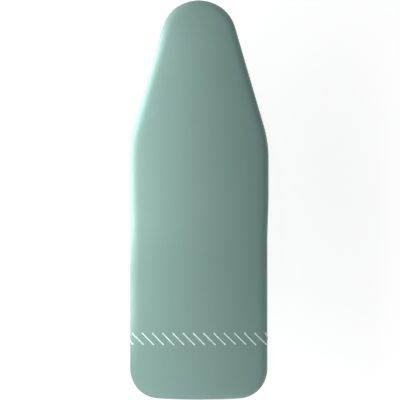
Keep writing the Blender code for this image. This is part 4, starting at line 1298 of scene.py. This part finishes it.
def build_clamp_bolt():
    """The clamp's screw: a dome head inside, its threaded end out in the knob."""
    low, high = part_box("clamp_bolt")
    shaft, head = PIVOT_SHAFT_MM, PIVOT_HEAD_MM
    profile = steps_from(high.x, (0, 0), (2.3, 0), (shaft, -0.6))
    turn = high.x - 0.9 * MM
    while turn > 57.6 * MM:
        profile += steps_from(turn, (shaft, 0), (2.5, -0.4))
        turn -= 0.8 * MM
    profile += steps_from(INNER_SHOULDER, (shaft, 7.3), (shaft, 0), (head, 0), (head, -0.7))
    base = INNER_SHOULDER - 0.7 * MM
    profile += dome(head * MM, base, low.x - base, 0.1, math.pi / 2, 8)
    spot = Vector((0, FRONT_TOP_PIVOT.y, FRONT_TOP_PIVOT.z))
    place(turned("clamp_screw", profile, spot, 1), "board", ZINC, "clamp_bolt")


def build_bracket():
    """A pressed channel with bent edges, its ears cut to two lobes joined by an arch."""
    low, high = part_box("hinge_bracket")
    sheet, bend = 2 * MM, 3.2 * MM
    web = high.z - sheet / 2
    ear_x = high.x - sheet / 2
    path = [(ear_x, low.z - 4 * MM), (ear_x, web - bend)]
    path += arc((ear_x - bend, web - bend), bend, 0, math.pi / 2, 6)[1:]
    path += [(-x, z) for x, z in reversed(path)]
    rings = [[(x, y, z) for x, z in path] for y in (low.y - 2 * MM, high.y - 0.4 * MM)]
    channel = loft("hinge_channel", rings, closed=False, caps=(False, False))
    thicken(channel, sheet)
    lobe, fillet, rise = 10 * MM, 8 * MM, 3 * MM
    z = FRONT_TOP_PIVOT.z
    front_y, rear_y = FRONT_TOP_PIVOT.y, REAR_TOP_PIVOT.y
    run = math.sqrt((lobe + fillet) ** 2 - (fillet - rise) ** 2)
    meet = math.atan2(fillet - rise, run)
    outline = [(high.y, high.z + 1 * MM), (high.y, z + 7.5 * MM)]
    outline += arc((front_y, z), lobe, 0, meet - math.pi, 20)
    outline += arc((front_y - run, z + rise - fillet), fillet, meet, math.pi / 2, 8)[1:]
    outline += arc((rear_y + run, z + rise - fillet), fillet, math.pi / 2, math.pi - meet, 8)[:-1]
    outline += arc((rear_y, z), lobe, -meet, -math.pi, 20)
    outline.append((rear_y - lobe, high.z + 1 * MM))
    rings = [[(x, y, height) for y, height in outline] for x in (-70 * MM, 70 * MM)]
    boolean(channel, [loft("stencil", rings)], "INTERSECT")
    stop = box("stop", (-ear_x - 0.9 * MM, high.y - sheet, z + 7.5 * MM),
               (ear_x + 0.9 * MM, high.y, high.z - 0.2 * MM))
    boolean(channel, [stop], "UNION")
    cuts = [rod((-70 * MM, y, z), (70 * MM, y, z), PIVOT_HOLE) for y in (front_y, rear_y)]
    middle = (front_y + rear_y) / 2
    for y in (middle - 22 * MM, middle + 22 * MM):
        cuts.append(rod((0, y, web - 4 * MM), (0, y, web + 4 * MM), 13 * MM, 48))
    boolean(channel, cuts)
    rounded(channel, 0.3 * MM, 2, 55)
    place(channel, "board", ZINC, "hinge_bracket")


def build_knob():
    """A six-lobed moulded knob with a dished face, its insert inside."""
    pivot = FRONT_TOP_PIVOT
    profile = [(57.5, 7.4), (57.9, 7.9), (59.2, 8.0), (59.5, 10.8), (60.0, 11.9), (61.2, 12.6),
               (64.5, 12.9), (68.6, 12.8), (70.0, 12.2), (70.8, 11.0), (71.0, 9.4), (70.7, 7.2),
               (70.3, 6.4), (69.9, 5.2), (69.8, 2.5)]
    rings = []
    for x, size in profile:
        ring = []
        for a in around(144):
            lobes = 0.095 * max(0.0, min(1.0, (size - 7.9) / 3.2))
            wave = 0.5 + 0.5 * math.cos(6 * a)
            radius = size * MM * (1 - lobes * 1.6 * (1 - wave**0.55))
            ring.append((x * MM, pivot.y + radius * math.cos(a), pivot.z + radius * math.sin(a)))
        rings.append(ring)
    knob = loft("star_knob", rings)
    boolean(knob, [rod((56.5 * MM, pivot.y, pivot.z), (69.3 * MM, pivot.y, pivot.z), 5.0 * MM)])
    smooth(knob.data, 34)
    place(knob, "lock_knob", knob_plastic(), "lock_knob")
    low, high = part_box("knob_insert")
    outer, inner = 4.7 * MM, PIVOT_HOLE
    profile = [(outer, high.x), (outer, low.x), (inner, low.x), (inner, high.x), (outer, high.x)]
    insert = turned("brass_insert", profile, Vector((0, pivot.y, pivot.z)), 1)
    place(insert, "lock_knob", brass(), "knob_insert")


# Board


def vent_places():
    """Centres of the plate's steam vents, in staggered rows, clear of the edge and bracket."""
    loop = full_loop(600)
    bracket = (FRONT_TOP_PIVOT.y + REAR_TOP_PIVOT.y) / 2
    for row in range(-13, 14):
        y = row * VENT_PITCH * math.sqrt(3) / 2
        for column in range(-4, 5):
            x = (column + 0.5 * (row % 2)) * VENT_PITCH
            half_width = np.interp(-y, -OUTLINE[:, 1], OUTLINE[:, 0])
            inside = abs(y) < HALF_LENGTH and abs(x) < half_width
            clear = nearest(loop, (x, y))[1] > 23 * MM
            if inside and clear and not (abs(x) < 66 * MM and abs(y - bracket) < 62 * MM):
                yield x, y


def hexagon(centre, radius):
    return arc(centre, radius, math.pi / 6, math.pi * 13 / 6, 6)[:-1]


def build_pan():
    """The pressed plate, its vents flanged with small rolled lips below."""
    vents = list(vent_places())
    outlines = [[tuple(p[:2]) for p in drawn_in(full_loop(300), 4 * MM, 0)]]
    outlines += [hexagon(spot, VENT_RADIUS_MM * MM) for spot in vents]
    pan = plate_mesh("pressed_plate", outlines, PAN_LOW.z, PAN_HIGH.z)
    place(pan, "board", ZINC, "board_pan")
    section = steps_from(
        PAN_LOW.z,
        (VENT_RADIUS_MM, 0), (6.2, -0.9), (6.5, -1.2), (6.9, -0.9), (7.3, -0.2), (7.4, 0.05),
    )
    lips = []
    for spot in vents:
        rings = [[(x, y, z) for x, y in hexagon(spot, radius)] for radius, z in section]
        lips.append(loft("lip", rings, caps=(False, False), smooth_angle=30))
    place(join("vent_lips", lips), "board", ZINC)


def build_board():
    """The cover with its stitches, the pad, the elastic, the rim and the plate."""
    cover, pad, skin, flat_area, hem_reach = build_cover()
    stitches = build_decor_stitches(skin)
    seam = build_hem_seam(skin)
    place(cover, "board", cover_fabric(), "cover")
    # Each thread's darker tone is painted shade in the grooves between its strands; the lighter
    # tone is the thread's own colour.
    thread = yarn("decor_thread", (0.48, 0.64, 0.60), (0.70, 0.87, 0.83), along="Y")
    place(stitches, "board", thread)
    place(seam, "board", yarn("seam_thread", (0.30, 0.42, 0.39), (0.42, 0.56, 0.52)))
    place(pad, "board", felt(), "foam_pad")
    rows = full_loop(420)
    cord = tube("elastic_cord", drawn_in(rows, ELASTIC_INSET, ELASTIC_Z), 1.4 * MM, True, 4)
    place(cord, "board", braided_elastic(), "hem_elastic")
    rim_inset = HALF_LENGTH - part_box("rim_tube")[1].y + RIM_RADIUS
    path = drawn_in(rows, rim_inset, PAN_LOW.z - CLEARANCE - RIM_RADIUS)
    rim = tube("rim_bar", path, RIM_RADIUS, True, 5)
    place(rim, "board", COAT, "rim_tube", slot="zinc_steel")
    build_pan()


# Studio


def build_studio():
    """Pale floor, soft light tent, one long soft light close on the left, and the camera above."""
    work = bmesh.new()
    bmesh.ops.create_grid(work, x_segments=1, y_segments=1, size=4)
    floor = from_bmesh("floor", work)
    floor.location.z = CAD_LOW.z - 0.05 * MM
    paper = Finish("studio_floor", roughness=0.9, Specular_IOR_Level=0.0)
    paper.shader.inputs["Base Color"].default_value = (0.42, 0.42, 0.42, 1)
    paper.shader.inputs["Emission Color"].default_value = (1, 1, 1, 1)
    paper.shader.inputs["Emission Strength"].default_value = 0.82
    floor.data.materials.append(paper.material)

    def area_light(name, spot, target, size, power, spread=180):
        light = bpy.data.lights.new(name, "AREA")
        light.shape = "RECTANGLE"
        light.size, light.size_y = size
        light.energy = power
        light.spread = math.radians(spread)
        item = link(bpy.data.objects.new(name, light))
        item.location = spot
        item.rotation_euler = (Vector(target) - item.location).to_track_quat("-Z", "Y").to_euler()
        item.visible_camera = False

    top, edge_x, edge_z = CAD_HIGH.z, CAD_HIGH.x, CAD_HIGH.z - 5 * MM
    area_light("key", (-0.17, 0, 0.32), (0, 0, top), (1.3, 0.08), 1.98)
    area_light("heel_fill", (0.10, -0.60, 0.45), (0.02, -0.22, top), (0.4, 0.25), 0.77)
    area_light("left_rim", (-0.30, 0.09, 0.15), (-edge_x, 0.09, edge_z), (0.30, 0.05), 0.13, 24)
    area_light("left_long", (-0.30, 0.03, 0.15), (-edge_x, 0.03, edge_z), (0.46, 0.05), 0.09, 28)
    area_light("left_high", (-0.30, 0.06, 0.24), (-edge_x, 0.06, edge_z), (0.46, 0.05), 0.03, 30)
    area_light("right_rim", (0.45, 0, 0.15), (edge_x, 0, edge_z), (0.8, 0.05), 0.04, 28)
    world = bpy.data.worlds.new("studio")
    bpy.context.scene.world = world
    world.use_nodes = True
    nodes, links = world.node_tree.nodes, world.node_tree.links
    direction = nodes.new("ShaderNodeTexCoord").outputs["Generated"]
    split = nodes.new("ShaderNodeSeparateXYZ")
    links.new(direction, split.inputs[0])
    ramp = nodes.new("ShaderNodeValToRGB")
    links.new(split.outputs["Z"], ramp.inputs["Fac"])
    ramp.color_ramp.elements[0].position = 0.05
    ramp.color_ramp.elements[0].color = (0.86, 0.87, 0.88, 1)
    ramp.color_ramp.elements[1].position = 0.55
    ramp.color_ramp.elements[1].color = (0.16, 0.165, 0.17, 1)
    links.new(ramp.outputs["Color"], nodes["Background"].inputs["Color"])
    nodes["Background"].inputs["Strength"].default_value = 0.72

    distance = 3.1
    outline_z = 134.5 * MM
    view_width = 400 / 399.3 * 2 * HALF_LENGTH
    camera = bpy.data.cameras.new("camera")
    camera.sensor_width = 36
    camera.lens = 36 * distance / view_width
    camera.clip_start, camera.clip_end = 0.1, 20
    item = link(bpy.data.objects.new("camera", camera))
    item.location = (1.7 * MM, 0.0, outline_z + distance)
    item.rotation_euler = (0, 0, 0)
    bpy.context.scene.camera = item
    bpy.context.scene.view_settings.view_transform = "Standard"


build_board()
build_board_hardware()
build_knob()
build_stand()
build_studio()
